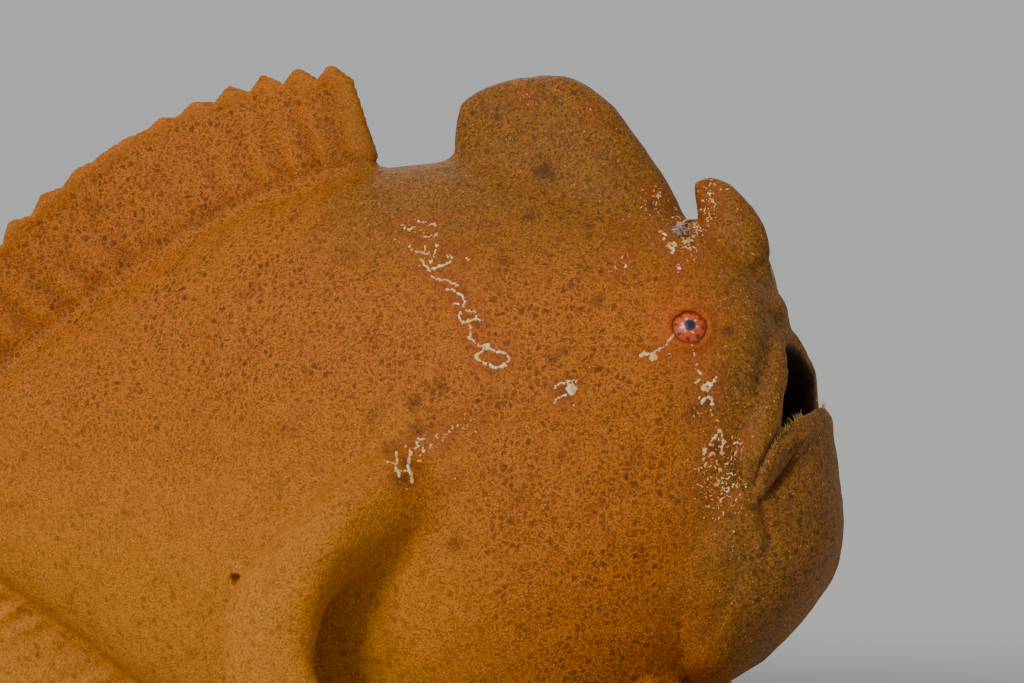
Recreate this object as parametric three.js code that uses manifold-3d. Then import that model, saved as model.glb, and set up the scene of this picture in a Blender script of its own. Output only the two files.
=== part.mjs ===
// A giant frogfish at life size, sitting still on its belly, its two arms and its two feet.
// Millimetres: +X is forward, +Y is the fish's left and +Z is up.
import * as THREE from "three";
import { mergeVertices } from "three/addons/utils/BufferGeometryUtils.js";
import Module from "manifold-3d";

const wasm = await Module();
wasm.setup();

// Driving sizes of the fish
const STANDARD_LENGTH = 250; // upper jaw to the root of the tail fin
const BODY_DEPTH = 160; // belly to back
const BODY_WIDTH = 94; // flank to flank, without the arms
const SNOUT_X = 74; // the face, ahead of the middle of the body
const FLOOR_Z = 0;
const GAP = 0.3; // what touching pieces keep between them
const TAIL_BEND_START_X = -60;
const TAIL_BEND_RADIUS = 420;

// How finely the surfaces are divided
const BODY_SIDES = 36;
const BODY_RINGS = 34;
const COLUMNS_PER_RAY = 2;

// Each row is one section of the body, from the face to the tail fin's root: distance behind the face
// as a share of the length, top and bottom as shares of the depth, width as a share of the full width,
// the height of the widest line as a share of the section, and how square the section's top is.
const BODY_STATIONS = [
  [0.0, 0.7, 0.6, 0.25, 0.5, 2.2],
  [0.004, 0.738, 0.52, 0.46, 0.48, 2.2],
  [0.014, 0.785, 0.425, 0.57, 0.46, 2.2],
  [0.032, 0.822, 0.325, 0.645, 0.44, 2.2],
  [0.064, 0.862, 0.225, 0.72, 0.44, 2.2],
  [0.104, 0.892, 0.14, 0.81, 0.43, 2.15],
  [0.176, 0.938, 0.055, 0.925, 0.41, 2.05],
  [0.26, 0.981, 0.01, 0.99, 0.39, 1.95],
  [0.356, 1.003, -0.009, 1.0, 0.37, 1.9],
  [0.456, 0.99, -0.011, 0.96, 0.37, 1.9],
  [0.576, 0.938, 0.005, 0.83, 0.39, 1.9],
  [0.696, 0.845, 0.085, 0.64, 0.42, 1.9],
  [0.816, 0.715, 0.215, 0.415, 0.46, 2.0],
  [0.904, 0.612, 0.305, 0.275, 0.5, 2.0],
  [0.956, 0.559, 0.344, 0.202, 0.5, 2.0],
  [1.0, 0.544, 0.356, 0.17, 0.5, 2.0],
];
const BELLY_SQUARENESS = 2.3;

const skinMaterial = new THREE.MeshStandardMaterial({ color: 0xb06f1c, roughness: 0.75, metalness: 0 });
const finMaterial = new THREE.MeshStandardMaterial({ color: 0xa9741f, roughness: 0.7, metalness: 0 });
const eyeMaterial = new THREE.MeshStandardMaterial({ color: 0xc8501c, roughness: 0.15, metalness: 0 });
const lureMaterial = new THREE.MeshStandardMaterial({ color: 0xd8c6a0, roughness: 0.6, metalness: 0 });

// Small helpers

const vec = (x, y, z) => new THREE.Vector3(x, y, z);
const mix = (a, b, t) => a + (b - a) * t;
const clamp01 = (t) => Math.min(1, Math.max(0, t));
const smoothStep = (t) => clamp01(t) ** 2 * (3 - 2 * clamp01(t));

// A function that runs smoothly through rows of numbers, the first of which is where the row stands.
function through(rows) {
  const places = rows.map((row) => row[0]);
  const values = rows.flatMap((row) => row.slice(1));
  const width = rows[0].length - 1;
  const interpolant = new THREE.CubicInterpolant(places, values, width, new Float32Array(width));
  return (place) => Array.from(interpolant.evaluate(place));
}

// The tail swings gently to the fish's right: everything behind the start of the bend turns with it.
function bendTail(p) {
  const behind = TAIL_BEND_START_X - p.x;
  if (behind <= 0) return p;
  const angle = behind / TAIL_BEND_RADIUS;
  const radius = TAIL_BEND_RADIUS + p.y;
  p.x = TAIL_BEND_START_X - radius * Math.sin(angle);
  p.y = radius * Math.cos(angle) - TAIL_BEND_RADIUS;
  return p;
}

function geometryOf(points, faces) {
  const geometry = new THREE.BufferGeometry();
  const numbers = points.flatMap((p) => [p.x, p.y, p.z]);
  geometry.setAttribute("position", new THREE.Float32BufferAttribute(numbers, 3));
  geometry.setIndex(faces);
  return geometry;
}

// A closed skin over rings of equal length, with a point at each end.
function loft(rings, firstTip, lastTip) {
  const sides = rings[0].length;
  const points = [...rings.flat(), firstTip, lastTip];
  const first = points.length - 2;
  const last = points.length - 1;
  const faces = [];
  for (let k = 0; k < sides; k++) {
    const next = (k + 1) % sides;
    faces.push(first, next, k);
    for (let i = 0; i + 1 < rings.length; i++) {
      const a = i * sides;
      const b = a + sides;
      faces.push(a + k, a + next, b + next, a + k, b + next, b + k);
    }
    const end = (rings.length - 1) * sides;
    faces.push(last, end + k, end + next);
  }
  return geometryOf(points, faces);
}

// A closed plate on both sides of a middle surface. Both faces are split into triangles alike.
function plate(columns, rows, middle, halfThickness) {
  const step = 1e-3;
  const points = [];
  for (const side of [1, -1]) {
    for (let i = 0; i <= columns; i++) {
      for (let j = 0; j <= rows; j++) {
        const s = i / columns;
        const t = j / rows;
        const across = middle(s + step, t).sub(middle(s - step, t));
        const along = middle(s, t + step).sub(middle(s, t - step));
        const normal = across.cross(along).normalize();
        points.push(middle(s, t).addScaledVector(normal, side * halfThickness(s, t)));
      }
    }
  }
  const stride = rows + 1;
  const back = (columns + 1) * stride;
  const faces = [];
  for (let i = 0; i < columns; i++) {
    for (let j = 0; j < rows; j++) {
      const a = i * stride + j;
      const b = a + stride;
      faces.push(a, b, b + 1, a, b + 1, a + 1);
      faces.push(back + a, back + b + 1, back + b, back + a, back + a + 1, back + b + 1);
    }
  }
  const wall = (a, b) => faces.push(a, back + a, back + b, a, back + b, b);
  for (let i = 0; i < columns; i++) {
    wall(i * stride, (i + 1) * stride);
    wall((i + 1) * stride + rows, i * stride + rows);
  }
  for (let j = 0; j < rows; j++) {
    wall(j + 1, j);
    wall(columns * stride + j, columns * stride + j + 1);
  }
  return geometryOf(points, faces);
}

// A fleshy limb: flattened rings along a smooth path. Each station is its centre, its half width
// towards wide, and its half thickness across that.
function limb(stations, wide, sides, rings) {
  const path = new THREE.CatmullRomCurve3(stations.map((s) => s.at));
  const sizes = through(stations.map((s, i) => [i / (stations.length - 1), s.half, s.thin]));
  const made = [];
  for (let i = 0; i <= rings; i++) {
    const t = i / rings;
    const centre = path.getPoint(t);
    const tangent = path.getTangent(t);
    const broad = wide.clone().addScaledVector(tangent, -wide.dot(tangent)).normalize();
    const thin = tangent.clone().cross(broad);
    const [half, depth] = sizes(t);
    const ring = [];
    for (let k = 0; k < sides; k++) {
      const angle = (2 * Math.PI * k) / sides;
      const point = centre.clone();
      point.addScaledVector(broad, half * Math.cos(angle)).addScaledVector(thin, depth * Math.sin(angle));
      ring.push(point);
    }
    made.push(ring);
  }
  const tip = (t, away) => path.getPoint(t).addScaledVector(path.getTangent(t), away * 0.5 * sizes(t)[1]);
  return loft(made, tip(0, -1), tip(1, 1));
}

function ellipsoid(centre, radii, detail = 3) {
  const geometry = new THREE.IcosahedronGeometry(1, detail);
  return geometry.scale(...radii).translate(centre.x, centre.y, centre.z);
}

// A ring of flesh that lies on a surface, facing out along a direction.
function rim(centre, outward, radius, thickness, segments, sides) {
  const geometry = new THREE.TorusGeometry(radius, thickness, sides, segments);
  const turn = new THREE.Quaternion().setFromUnitVectors(vec(0, 0, 1), outward.clone().normalize());
  return geometry.applyQuaternion(turn).translate(centre.x, centre.y, centre.z);
}

// Solids: geometry in, closed body out

function welded(geometry) {
  const bare = geometry.clone();
  bare.deleteAttribute("normal");
  bare.deleteAttribute("uv");
  return mergeVertices(bare, 1e-4);
}

function signedVolume(position, index) {
  const [a, b, c] = [vec(), vec(), vec()];
  let sum = 0;
  for (let i = 0; i < index.length; i += 3) {
    a.fromArray(position, index[i] * 3);
    b.fromArray(position, index[i + 1] * 3);
    c.fromArray(position, index[i + 2] * 3);
    sum += a.dot(b.cross(c));
  }
  return sum;
}

function solid(geometry) {
  const whole = welded(geometry);
  const vertProperties = whole.attributes.position.array;
  const triVerts = new Uint32Array(whole.index.array);
  if (signedVolume(vertProperties, triVerts) < 0) triVerts.reverse();
  return new wasm.Manifold(new wasm.Mesh({ numProp: 3, vertProperties, triVerts }));
}

// The same solid, thicker all over by the gap, to cut its neighbours with.
function grown(geometry, by = GAP) {
  const whole = welded(geometry);
  whole.computeVertexNormals();
  const { position, normal } = whole.attributes;
  const outward = signedVolume(position.array, whole.index.array) < 0 ? -by : by;
  for (let i = 0; i < position.count; i++) {
    position.setXYZ(
      i,
      position.getX(i) + outward * normal.getX(i),
      position.getY(i) + outward * normal.getY(i),
      position.getZ(i) + outward * normal.getZ(i),
    );
  }
  return solid(whole);
}

const join = (solids) => solids.reduce((a, b) => a.add(b));
const cut = (body, cutters) => cutters.reduce((a, b) => a.subtract(b), body);

// The largest closed surface of a solid, which drops any scrap that a cut leaves.
function largest(body) {
  return body.decompose().reduce((a, b) => (b.volume() > a.volume() ? b : a));
}

function meshOf(name, body, material) {
  const { numProp, numVert, vertProperties, triVerts } = largest(body).getMesh();
  const points = new Float32Array(numVert * 3);
  for (let i = 0; i < numVert; i++) {
    points.set(vertProperties.subarray(i * numProp, i * numProp + 3), i * 3);
  }
  const geometry = new THREE.BufferGeometry();
  geometry.setAttribute("position", new THREE.BufferAttribute(points, 3));
  geometry.setIndex(new THREE.BufferAttribute(triVerts, 1));
  geometry.computeVertexNormals();
  const mesh = new THREE.Mesh(geometry, material);
  mesh.name = name;
  return mesh;
}

function boxSolid(low, high) {
  const size = high.clone().sub(low);
  const centre = low.clone().add(high).multiplyScalar(0.5);
  return solid(new THREE.BoxGeometry(size.x, size.y, size.z).translate(centre.x, centre.y, centre.z));
}

const FAR = 400; // well outside the fish
const floorBlock = boxSolid(vec(-FAR, -FAR, -FAR), vec(FAR, FAR, FLOOR_Z));

// The whole body, from the face to the root of the tail fin

const bodyAt = through(BODY_STATIONS);

// The section of the body at a place along it, in millimetres.
function bodySection(share) {
  const [top, bottom, width, widest, squareness] = bodyAt(share);
  const low = bottom * BODY_DEPTH;
  const high = top * BODY_DEPTH;
  return {
    x: SNOUT_X - share * STANDARD_LENGTH,
    low,
    high,
    half: (width * BODY_WIDTH) / 2,
    middle: mix(low, high, widest),
    squareness,
  };
}

const shareAt = (x) => (SNOUT_X - x) / STANDARD_LENGTH;
const backHeight = (x) => bodySection(shareAt(x)).high;
const bellyHeight = (x) => bodySection(shareAt(x)).low;

// How far the flank stands out at a place along the body and a height.
function flankAt(x, z) {
  const { low, high, half, middle, squareness } = bodySection(shareAt(x));
  const power = z > middle ? squareness : BELLY_SQUARENESS;
  const rise = z > middle ? (z - middle) / (high - middle) : (middle - z) / (middle - low);
  return half * (1 - clamp01(rise) ** power) ** (1 / power);
}

function bodyRing(share) {
  const { x, low, high, half, middle, squareness } = bodySection(share);
  const ring = [];
  for (let k = 0; k < BODY_SIDES; k++) {
    const angle = (2 * Math.PI * k) / BODY_SIDES;
    const up = Math.cos(angle);
    const out = Math.sin(angle);
    const power = 2 / (up > 0 ? squareness : BELLY_SQUARENESS);
    const y = half * Math.sign(out) * Math.abs(out) ** power;
    const z = middle + (up > 0 ? high - middle : middle - low) * Math.sign(up) * Math.abs(up) ** power;
    ring.push(bendTail(vec(x, y, z)));
  }
  return ring;
}

function bodyGeometry() {
  const rings = [];
  for (let i = 0; i <= BODY_RINGS; i++) {
    const t = i / BODY_RINGS;
    rings.push(bodyRing(mix(t, t ** 2.2, 0.72))); // closer rings at the face
  }
  const face = bodySection(0);
  const end = bodySection(1);
  const nose = vec(face.x + 0.6, 0, (face.low + face.high) / 2);
  const root = bendTail(vec(end.x - 3, 0, (end.low + end.high) / 2));
  return loft(rings, nose, root);
}

const wholeBody = bodyGeometry();
const bodySolid = solid(wholeBody);
const bodyCutter = grown(wholeBody);

// The mouth: lips as tubes along two arches, and the hollow behind them

const MOUTH_CORNER = { x: 72.5, y: 27.5, z: 72.5 };
const LIP_SIDES = 8;
const LIP_RINGS = 18;

// A lip from corner to corner. Stations run from one corner to the middle, and are mirrored.
function lipGeometry(stations, wide) {
  const half = stations.map(([x, y, z, r]) => ({ at: vec(x, y, z), half: r, thin: r }));
  const other = half.slice(0, -1).reverse();
  const mirrored = other.map((s) => ({ ...s, at: vec(s.at.x, -s.at.y, s.at.z) }));
  return limb([...half, ...mirrored], wide, LIP_SIDES, LIP_RINGS);
}

const upperLip = lipGeometry(
  [
    [MOUTH_CORNER.x, MOUTH_CORNER.y, MOUTH_CORNER.z, 2.6],
    [73.2, 26.6, 82, 3.8],
    [74.6, 22.8, 93, 4.4],
    [75, 16.4, 103.4, 4.4],
    [72.4, 8, 111, 4.2],
    [71.4, 0, 113.4, 4],
  ],
  vec(1, 0, 0),
);
const lowerLip = lipGeometry(
  [
    [MOUTH_CORNER.x, MOUTH_CORNER.y + 0.4, MOUTH_CORNER.z - 1.5, 2.4],
    [75.2, 25, 80, 3.3],
    [78.6, 18, 86.4, 3.7],
    [81.8, 9.5, 90.6, 3.8],
    [83.4, 0, 92.4, 3.9],
  ],
  vec(1, 0, 0),
);
const MOUTH = { z: 88.5, halfWidth: 20.5, halfHeight: 22, depth: 26 };
const THROAT_SIDES = 14;

// The throat behind the lips: an oval hollow that narrows inwards.
function throatGeometry() {
  const front = SNOUT_X + 20;
  const rings = [];
  const steps = 7;
  for (let i = 0; i <= steps; i++) {
    const t = i / steps;
    const x = mix(front, SNOUT_X - MOUTH.depth, t);
    const inside = clamp01((SNOUT_X - x) / MOUTH.depth);
    const size = Math.sqrt(1 - 0.97 * inside ** 2);
    const ring = [];
    for (let k = 0; k < THROAT_SIDES; k++) {
      const angle = (2 * Math.PI * k) / THROAT_SIDES;
      const y = MOUTH.halfWidth * size * Math.sin(angle);
      ring.push(vec(x, y, MOUTH.z + MOUTH.halfHeight * size * Math.cos(angle)));
    }
    rings.push(ring);
  }
  const inner = SNOUT_X - MOUTH.depth - 1;
  return loft(rings, vec(front + 1, 0, MOUTH.z), vec(inner, 0, MOUTH.z));
}

// The lower jaw: a scoop, from level sections that each bulge forward

const JAW_PIVOT_X = 56;
const JAW_STATIONS = [
  [22, 57, 9],
  [26, 64.5, 17],
  [32, 72, 22.5],
  [40, 79.5, 26.5],
  [48, 84.8, 29.3],
  [57, 88.2, 31],
  [66, 88.8, 31],
  [74, 88.2, 29.6],
  [80, 87.8, 26.6],
  [86, 87.4, 20.5],
  [90.5, 86.6, 13.5],
  [93.5, 85, 7],
];
const JAW_SQUARENESS = 2.35;
const JAW_HOLLOW = { x: 70.5, z: 90, radii: [13.5, 21.5, 24] };
const JAW_SIDES = 28;

function jawGeometry() {
  const at = through(JAW_STATIONS);
  const low = JAW_STATIONS[0][0];
  const high = JAW_STATIONS.at(-1)[0];
  const steps = 11;
  const rings = [];
  for (let i = 0; i <= steps; i++) {
    const z = mix(low, high, i / steps);
    const [front, half] = at(z);
    const ring = [];
    for (let k = 0; k < JAW_SIDES; k++) {
      const angle = (2 * Math.PI * k) / JAW_SIDES;
      const ahead = Math.cos(angle);
      const out = Math.sin(angle);
      const reach = ahead > 0 ? front - JAW_PIVOT_X : 6;
      const x = JAW_PIVOT_X + reach * Math.sign(ahead) * Math.abs(ahead) ** (2 / JAW_SQUARENESS);
      ring.push(vec(x, half * Math.sign(out) * Math.abs(out) ** (2 / JAW_SQUARENESS), z));
    }
    rings.push(ring);
  }
  return loft(rings, vec(JAW_PIVOT_X, 0, low - 0.5), vec(JAW_PIVOT_X + 18, 0, high + 1));
}

// Skin filaments along the lower lip, longest at its tip.
const CIRRI = 11;
const CIRRUS_LENGTH = 4.2;

function cirri() {
  const path = new THREE.CatmullRomCurve3([
    vec(75.6, 24.6, 82.5),
    vec(79.4, 17.5, 89.4),
    vec(82.6, 9, 93.8),
    vec(84.4, 0, 95.6),
    vec(82.6, -9, 93.8),
    vec(79.4, -17.5, 89.4),
    vec(75.6, -24.6, 82.5),
  ]);
  const made = [];
  for (let i = 0; i < CIRRI; i++) {
    const t = (i + 0.5) / CIRRI;
    const middle = 1 - Math.abs(2 * t - 1);
    const length = CIRRUS_LENGTH * (0.45 + 0.55 * middle ** 3) * (i % 2 ? 0.8 : 1);
    const cone = new THREE.ConeGeometry(0.9, length, 5);
    cone.translate(0, length / 2 - 1.2, 0);
    const lean = vec(0.25, 0.25 * Math.sin(9 * t), 1).normalize();
    cone.applyQuaternion(new THREE.Quaternion().setFromUnitVectors(vec(0, 1, 0), lean));
    const root = path.getPoint(t);
    made.push(solid(cone.translate(root.x, root.y, root.z)));
  }
  return made;
}

function lowerJaw() {
  const hollow = solid(ellipsoid(vec(JAW_HOLLOW.x, 0, JAW_HOLLOW.z), JAW_HOLLOW.radii, 2));
  const scoop = join([solid(jawGeometry()), solid(lowerLip)]).subtract(hollow);
  return cut(join([scoop, ...cirri()]), [bodyCutter, grown(upperLip), grown(snoutBump)]);
}

// The eyes and nostrils

const EYE = { x: 56.4, z: 115.4, radius: 6.4, sunk: 4.6, lidRadius: 5.2, lid: 1.3 };
const NOSTRILS = [
  { x: 65.3, z: 115.6, radius: 1.5 },
  { x: 70.5, z: 121, radius: 1.2 },
];

// A point on the flank, and the way the skin faces there.
function flankPoint(x, z, side) {
  const step = 1;
  const at = vec(x, flankAt(x, z), z);
  const ahead = vec(x + step, flankAt(x + step, z), z).sub(at);
  const above = vec(x, flankAt(x, z + step), z + step).sub(at);
  const outward = above.cross(ahead).normalize();
  if (outward.y < 0) outward.negate();
  return { at: vec(at.x, side * at.y, at.z), outward: vec(outward.x, side * outward.y, outward.z) };
}

function eyeCentre(side) {
  const { at, outward } = flankPoint(EYE.x, EYE.z, side);
  return at.addScaledVector(outward, -EYE.sunk);
}

function eyeball(side) {
  const r = EYE.radius;
  return ellipsoid(eyeCentre(side), [r, r, r], 2);
}

function faceDetails() {
  const made = [];
  for (const side of [1, -1]) {
    const eye = flankPoint(EYE.x, EYE.z, side);
    made.push(solid(rim(eye.at, eye.outward, EYE.lidRadius, EYE.lid, 14, 6)));
    for (const { x, z, radius } of NOSTRILS) {
      const nostril = flankPoint(x, z, side);
      made.push(solid(rim(nostril.at, nostril.outward, radius, 0.75, 7, 4)));
    }
  }
  return made;
}

function nostrilPits() {
  return [1, -1].flatMap((side) =>
    NOSTRILS.map(({ x, z, radius }) => {
      const nostril = flankPoint(x, z, side);
      return solid(ellipsoid(nostril.at, [radius * 0.75, radius * 0.75, radius * 0.75], 0));
    }),
  );
}

const snoutBump = ellipsoid(vec(70.6, 0, 120), [4.6, 8, 5.2], 2);

// The two dorsal spines on the head, as level sections: height, front, back and thickness

const SECOND_SPINE = [
  [120, 70.5, 50, 9],
  [128, 70.3, 50.6, 7.2],
  [133, 70.2, 50.8, 6.2],
  [137, 71, 51, 5.4],
  [141, 70, 51.2, 4.8],
  [145.5, 67.2, 51, 4.2],
  [150, 63.6, 50, 3.6],
  [153.4, 60, 50, 2.8],
  [155.2, 56.6, 52.2, 1.6],
];
const THIRD_SPINE = [
  [120, 46, -24, 30],
  [138, 47.5, -21, 19],
  [145, 47.2, -18.5, 15],
  [152, 44, -16.6, 12.5],
  [158.5, 39.6, -16.2, 10.8],
  [165, 35.4, -16, 9.2],
  [173, 30, -15.6, 7.4],
  [178.6, 24.2, -12, 5.6],
  [181.8, 17.8, -3.6, 3.8],
  [183.2, 12.5, 5, 1.8],
];

function spineGeometry(stations, sides, steps) {
  const at = through(stations);
  const low = stations[0][0];
  const high = stations.at(-1)[0];
  const rings = [];
  for (let i = 0; i <= steps; i++) {
    const z = mix(low, high, 1 - (1 - i / steps) ** 1.35); // closer rings at the tip
    const [front, back, thick] = at(z);
    const ring = [];
    for (let k = 0; k < sides; k++) {
      const angle = (2 * Math.PI * k) / sides;
      const ahead = Math.cos(angle);
      const x = (front + back) / 2 + ((front - back) / 2) * ahead;
      ring.push(vec(x, thick * Math.sin(angle) * (1 + 0.25 * ahead), z));
    }
    rings.push(ring);
  }
  const middle = (row) => (row[1] + row[2]) / 2;
  const foot = vec(middle(stations[0]), 0, low - 0.5);
  return loft(rings, foot, vec(middle(stations.at(-1)), 0, high + 0.3));
}

const secondSpine = spineGeometry(SECOND_SPINE, 18, 10);
const thirdSpine = spineGeometry(THIRD_SPINE, 22, 11);

// The fishing rod, folded back past the second spine, with the lure in the notch behind it

const LURE = vec(49.2, -11.5, 140.5);
const LURE_FILAMENTS = 12;
const LURE_RADIUS = 2.6;

// Each row is one place along the rod and its radius there. It lies close along the spine's left side.
const ROD_STATIONS = [
  [71.4, 2.6, 123.4, 1.5],
  [69.6, 5.6, 129, 1.05],
  [68, 6.2, 134, 0.85],
  [66.2, 6.2, 139, 0.75],
  [61, 6, 142.6, 0.7],
  [55.5, 4.9, 144.7, 0.65],
  [51.2, 3.4, 145.1, 0.65],
  [49.1, 0, 144.9, 0.65],
  [48.9, -4.5, 144.4, 0.65],
  [49.2, -8.5, 142.8, 0.65],
  [LURE.x, LURE.y, LURE.z, 0.7],
];
const rod = limb(
  ROD_STATIONS.map(([x, y, z, r]) => ({ at: vec(x, y, z), half: r, thin: r })),
  vec(0.3, 0.2, 1),
  6,
  22,
);

const lureCore = ellipsoid(LURE, [LURE_RADIUS * 1.3, LURE_RADIUS, LURE_RADIUS], 1);

function lure() {
  const pieces = [solid(lureCore)];
  for (let i = 0; i < LURE_FILAMENTS; i++) {
    const height = 1 - (2 * (i + 0.5)) / LURE_FILAMENTS;
    const turn = i * Math.PI * (3 - Math.sqrt(5));
    const flat = Math.sqrt(1 - height ** 2);
    const way = vec(flat * Math.cos(turn), flat * Math.sin(turn) * 0.8 - 0.35, height - 0.1).normalize();
    const length = 5.2 + 1.4 * Math.sin(3.1 * i);
    const stations = [0, 0.5, 1].map((t) => ({
      at: LURE.clone().addScaledVector(way, length * t + 0.6).add(vec(0, 0, -1.4 * t ** 2)),
      half: mix(1.1, 0.35, t),
      thin: mix(0.8, 0.3, t),
    }));
    pieces.push(solid(limb(stations, vec(way.z, way.x, way.y), 5, 3)));
  }
  return join(pieces);
}

// Fins: a membrane with a raised ray in the middle of each strip

// How far the surface stands up at a place across a fin: 1 on a ray, 0 halfway between two.
const rayAt = (s, rays) => (0.5 - 0.5 * Math.cos(2 * Math.PI * s * rays)) ** 1.2;

function finGeometry({ rays, rows, middle, root, tip, membrane = 0.5 }) {
  const half = (s, t) => {
    const body = mix(root, tip, smoothStep(t) ** 0.8);
    const edge = 0.55 + 0.45 * Math.sin(Math.PI * clamp01(s)) ** 0.35;
    return body * edge * mix(membrane, 1, rayAt(s, rays));
  };
  const columns = rays * COLUMNS_PER_RAY + 1;
  return plate(columns, rows, (s, t) => middle(s, t), half);
}

// A fin in the fish's own plane, along the back or belly.
function medianFin({ rays, rows, from, to, foot, sink, lean, length, notch, root, tip, sway }) {
  const middle = (s, t) => {
    const x = mix(from, to, s);
    const angle = THREE.MathUtils.degToRad(lean(s));
    const reach = length(s) * (1 - notch * (1 - rayAt(s, rays)) * t ** 3);
    const up = foot.sign;
    const out = reach * t - sink * (1 - t);
    const p = vec(x - out * Math.cos(angle), sway * t ** 2 * Math.sin(5 * s), 0);
    p.z = foot.height(x) + up * out * Math.sin(angle);
    return bendTail(p);
  };
  return finGeometry({ rays, rows, middle, root, tip });
}

const dorsalFin = medianFin({
  rays: 13,
  rows: 6,
  from: -38,
  to: -150,
  foot: { height: backHeight, sign: 1 },
  sink: 7,
  lean: (s) => mix(72, 36, s),
  length: (s) => 37 * (0.62 + 0.38 * Math.sin(Math.PI * (0.12 + 0.8 * s)) ** 0.8),
  notch: 0.13,
  root: 3.8,
  tip: 0.75,
  sway: 3,
});
const analFin = medianFin({
  rays: 8,
  rows: 6,
  from: -96,
  to: -148,
  foot: { height: bellyHeight, sign: -1 },
  sink: 7,
  lean: (s) => mix(12, 36, s),
  length: (s) => 32 * (0.6 + 0.4 * Math.sin(Math.PI * (0.15 + 0.75 * s)) ** 0.8),
  notch: 0.14,
  root: 3.6,
  tip: 0.75,
  sway: -2,
});

const TAIL_FIN = { rays: 9, length: 74, rootHalf: 15, spread: 33 };

function tailFinGeometry() {
  const rootX = SNOUT_X - STANDARD_LENGTH;
  const { low, high } = bodySection(1);
  const rootZ = (low + high) / 2;
  const middle = (s, t) => {
    const side = 2 * s - 1;
    const angle = THREE.MathUtils.degToRad(TAIL_FIN.spread * side);
    const round = 1 - 0.24 * side ** 2;
    const reach = TAIL_FIN.length * round * (1 - 0.09 * (1 - rayAt(s, TAIL_FIN.rays)) * t ** 3);
    const out = reach * t - 6 * (1 - t);
    const z = rootZ + TAIL_FIN.rootHalf * side + out * Math.sin(angle) * (0.7 + 0.3 * t);
    return bendTail(vec(rootX + 2 - out * Math.cos(angle), 3 * t ** 2 * Math.sin(4 * s), z));
  };
  return finGeometry({ rays: TAIL_FIN.rays, rows: 7, middle, root: 5.5, tip: 0.8, membrane: 0.55 });
}

// A hand or foot: rays that fan out from the wrist, come down and lie flat on the floor.
function handGeometry({ rays, rows, wrist, across, width, heading, spread, length, lift, root, tip, side }) {
  const middle = (s, t) => {
    const turn = THREE.MathUtils.degToRad(heading + spread * (s - 0.5));
    const away = vec(Math.cos(turn), side * Math.sin(turn), 0);
    const start = wrist.clone().addScaledVector(across, width * (s - 0.5));
    const share = length * (1 - 0.16 * (2 * s - 1) ** 2);
    const reach = share * (1 - 0.13 * (1 - rayAt(s, rays)) * t ** 3);
    const p = start.addScaledVector(away, reach * t - 4 * (1 - t));
    p.z = mix(wrist.z + 2 * (1 - t), FLOOR_Z + lift, 1 - (1 - clamp01(t)) ** 2.1);
    return p;
  };
  return finGeometry({ rays, rows, middle, root, tip, membrane: 0.45 });
}

// The arm on one side. The pose differs a little from left to right.
function arm(side) {
  const shift = side > 0 ? 5 : 0;
  const shoulder = vec(-14 + shift, side * 25, 68);
  const stations = [
    { at: shoulder, half: 27, thin: 17 },
    { at: vec(-28 + shift, side * 46, 64), half: 20, thin: 12.5 },
    { at: vec(-42 + shift, side * 57, 49), half: 15.5, thin: 10 },
    { at: vec(-45 + shift, side * 61, 31), half: 12.8, thin: 7.6 },
    { at: vec(-40 + shift, side * 63, 17), half: 13.5, thin: 5.4 },
  ];
  return { geometry: limb(stations, vec(0.75, 0, 0.65), 16, 10), shift };
}

function hand(side, shift) {
  return handGeometry({
    rays: 11,
    rows: 6,
    wrist: vec(-41 + shift, side * 62, 18),
    across: vec(-1, 0, 0),
    width: 24,
    heading: 82,
    spread: 118,
    length: 31,
    lift: 0.9,
    root: 4.2,
    tip: 1.0,
    side,
  });
}

function foot(side) {
  const shift = side > 0 ? 3 : 0;
  return handGeometry({
    rays: 5,
    rows: 6,
    wrist: vec(47 + shift, side * 19, 22),
    across: vec(-0.5, side * 0.85, 0),
    width: 16,
    heading: 38,
    spread: 70,
    length: 33,
    lift: 0.9,
    root: 5.5,
    tip: 1.1,
    side,
  });
}

// The gill opening: a small raised pore behind each arm.
const GILL_PORE = { x: -62, z: 50, radius: 2.6, flesh: 1.3 };

function gillPore(side) {
  const { at, outward } = flankPoint(GILL_PORE.x, GILL_PORE.z, side);
  return {
    ring: solid(rim(at, outward, GILL_PORE.radius, GILL_PORE.flesh, 12, 6)),
    pit: solid(ellipsoid(at, [GILL_PORE.radius * 0.8, GILL_PORE.radius, GILL_PORE.radius * 0.8], 1)),
  };
}

// The body parted into head, trunk and tail by thin cuts

const NECK = { x: 12, z: 70, slope: 1 / 3 }; // the cut leans back towards the top
const TAIL_CUT_X = -152;

// A block that reaches from a slanted plane across the fish.
function sideOfNeck(ahead) {
  const block = new THREE.BoxGeometry(FAR, FAR, 2 * FAR);
  block.translate(ahead ? FAR / 2 + GAP / 2 : -FAR / 2 - GAP / 2, 0, 0);
  block.rotateY(-Math.atan(NECK.slope));
  return solid(block.translate(NECK.x, 0, NECK.z));
}

const tailCut = bendTail(vec(TAIL_CUT_X, 0, 0));
const tailAngle = (TAIL_BEND_START_X - TAIL_CUT_X) / TAIL_BEND_RADIUS;

function sideOfTail(ahead) {
  const block = new THREE.BoxGeometry(FAR, FAR, 2 * FAR);
  block.translate(ahead ? FAR / 2 + GAP / 2 : -FAR / 2 - GAP / 2, 0, 0);
  return solid(block.rotateZ(tailAngle).translate(tailCut.x, tailCut.y, 0));
}

const arms = { left: arm(1), right: arm(-1) };
const jawCutter = grown(jawGeometry());
const sockets = [1, -1].map((side) => grown(eyeball(side)));
const pores = [1, -1].map(gillPore);

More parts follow.
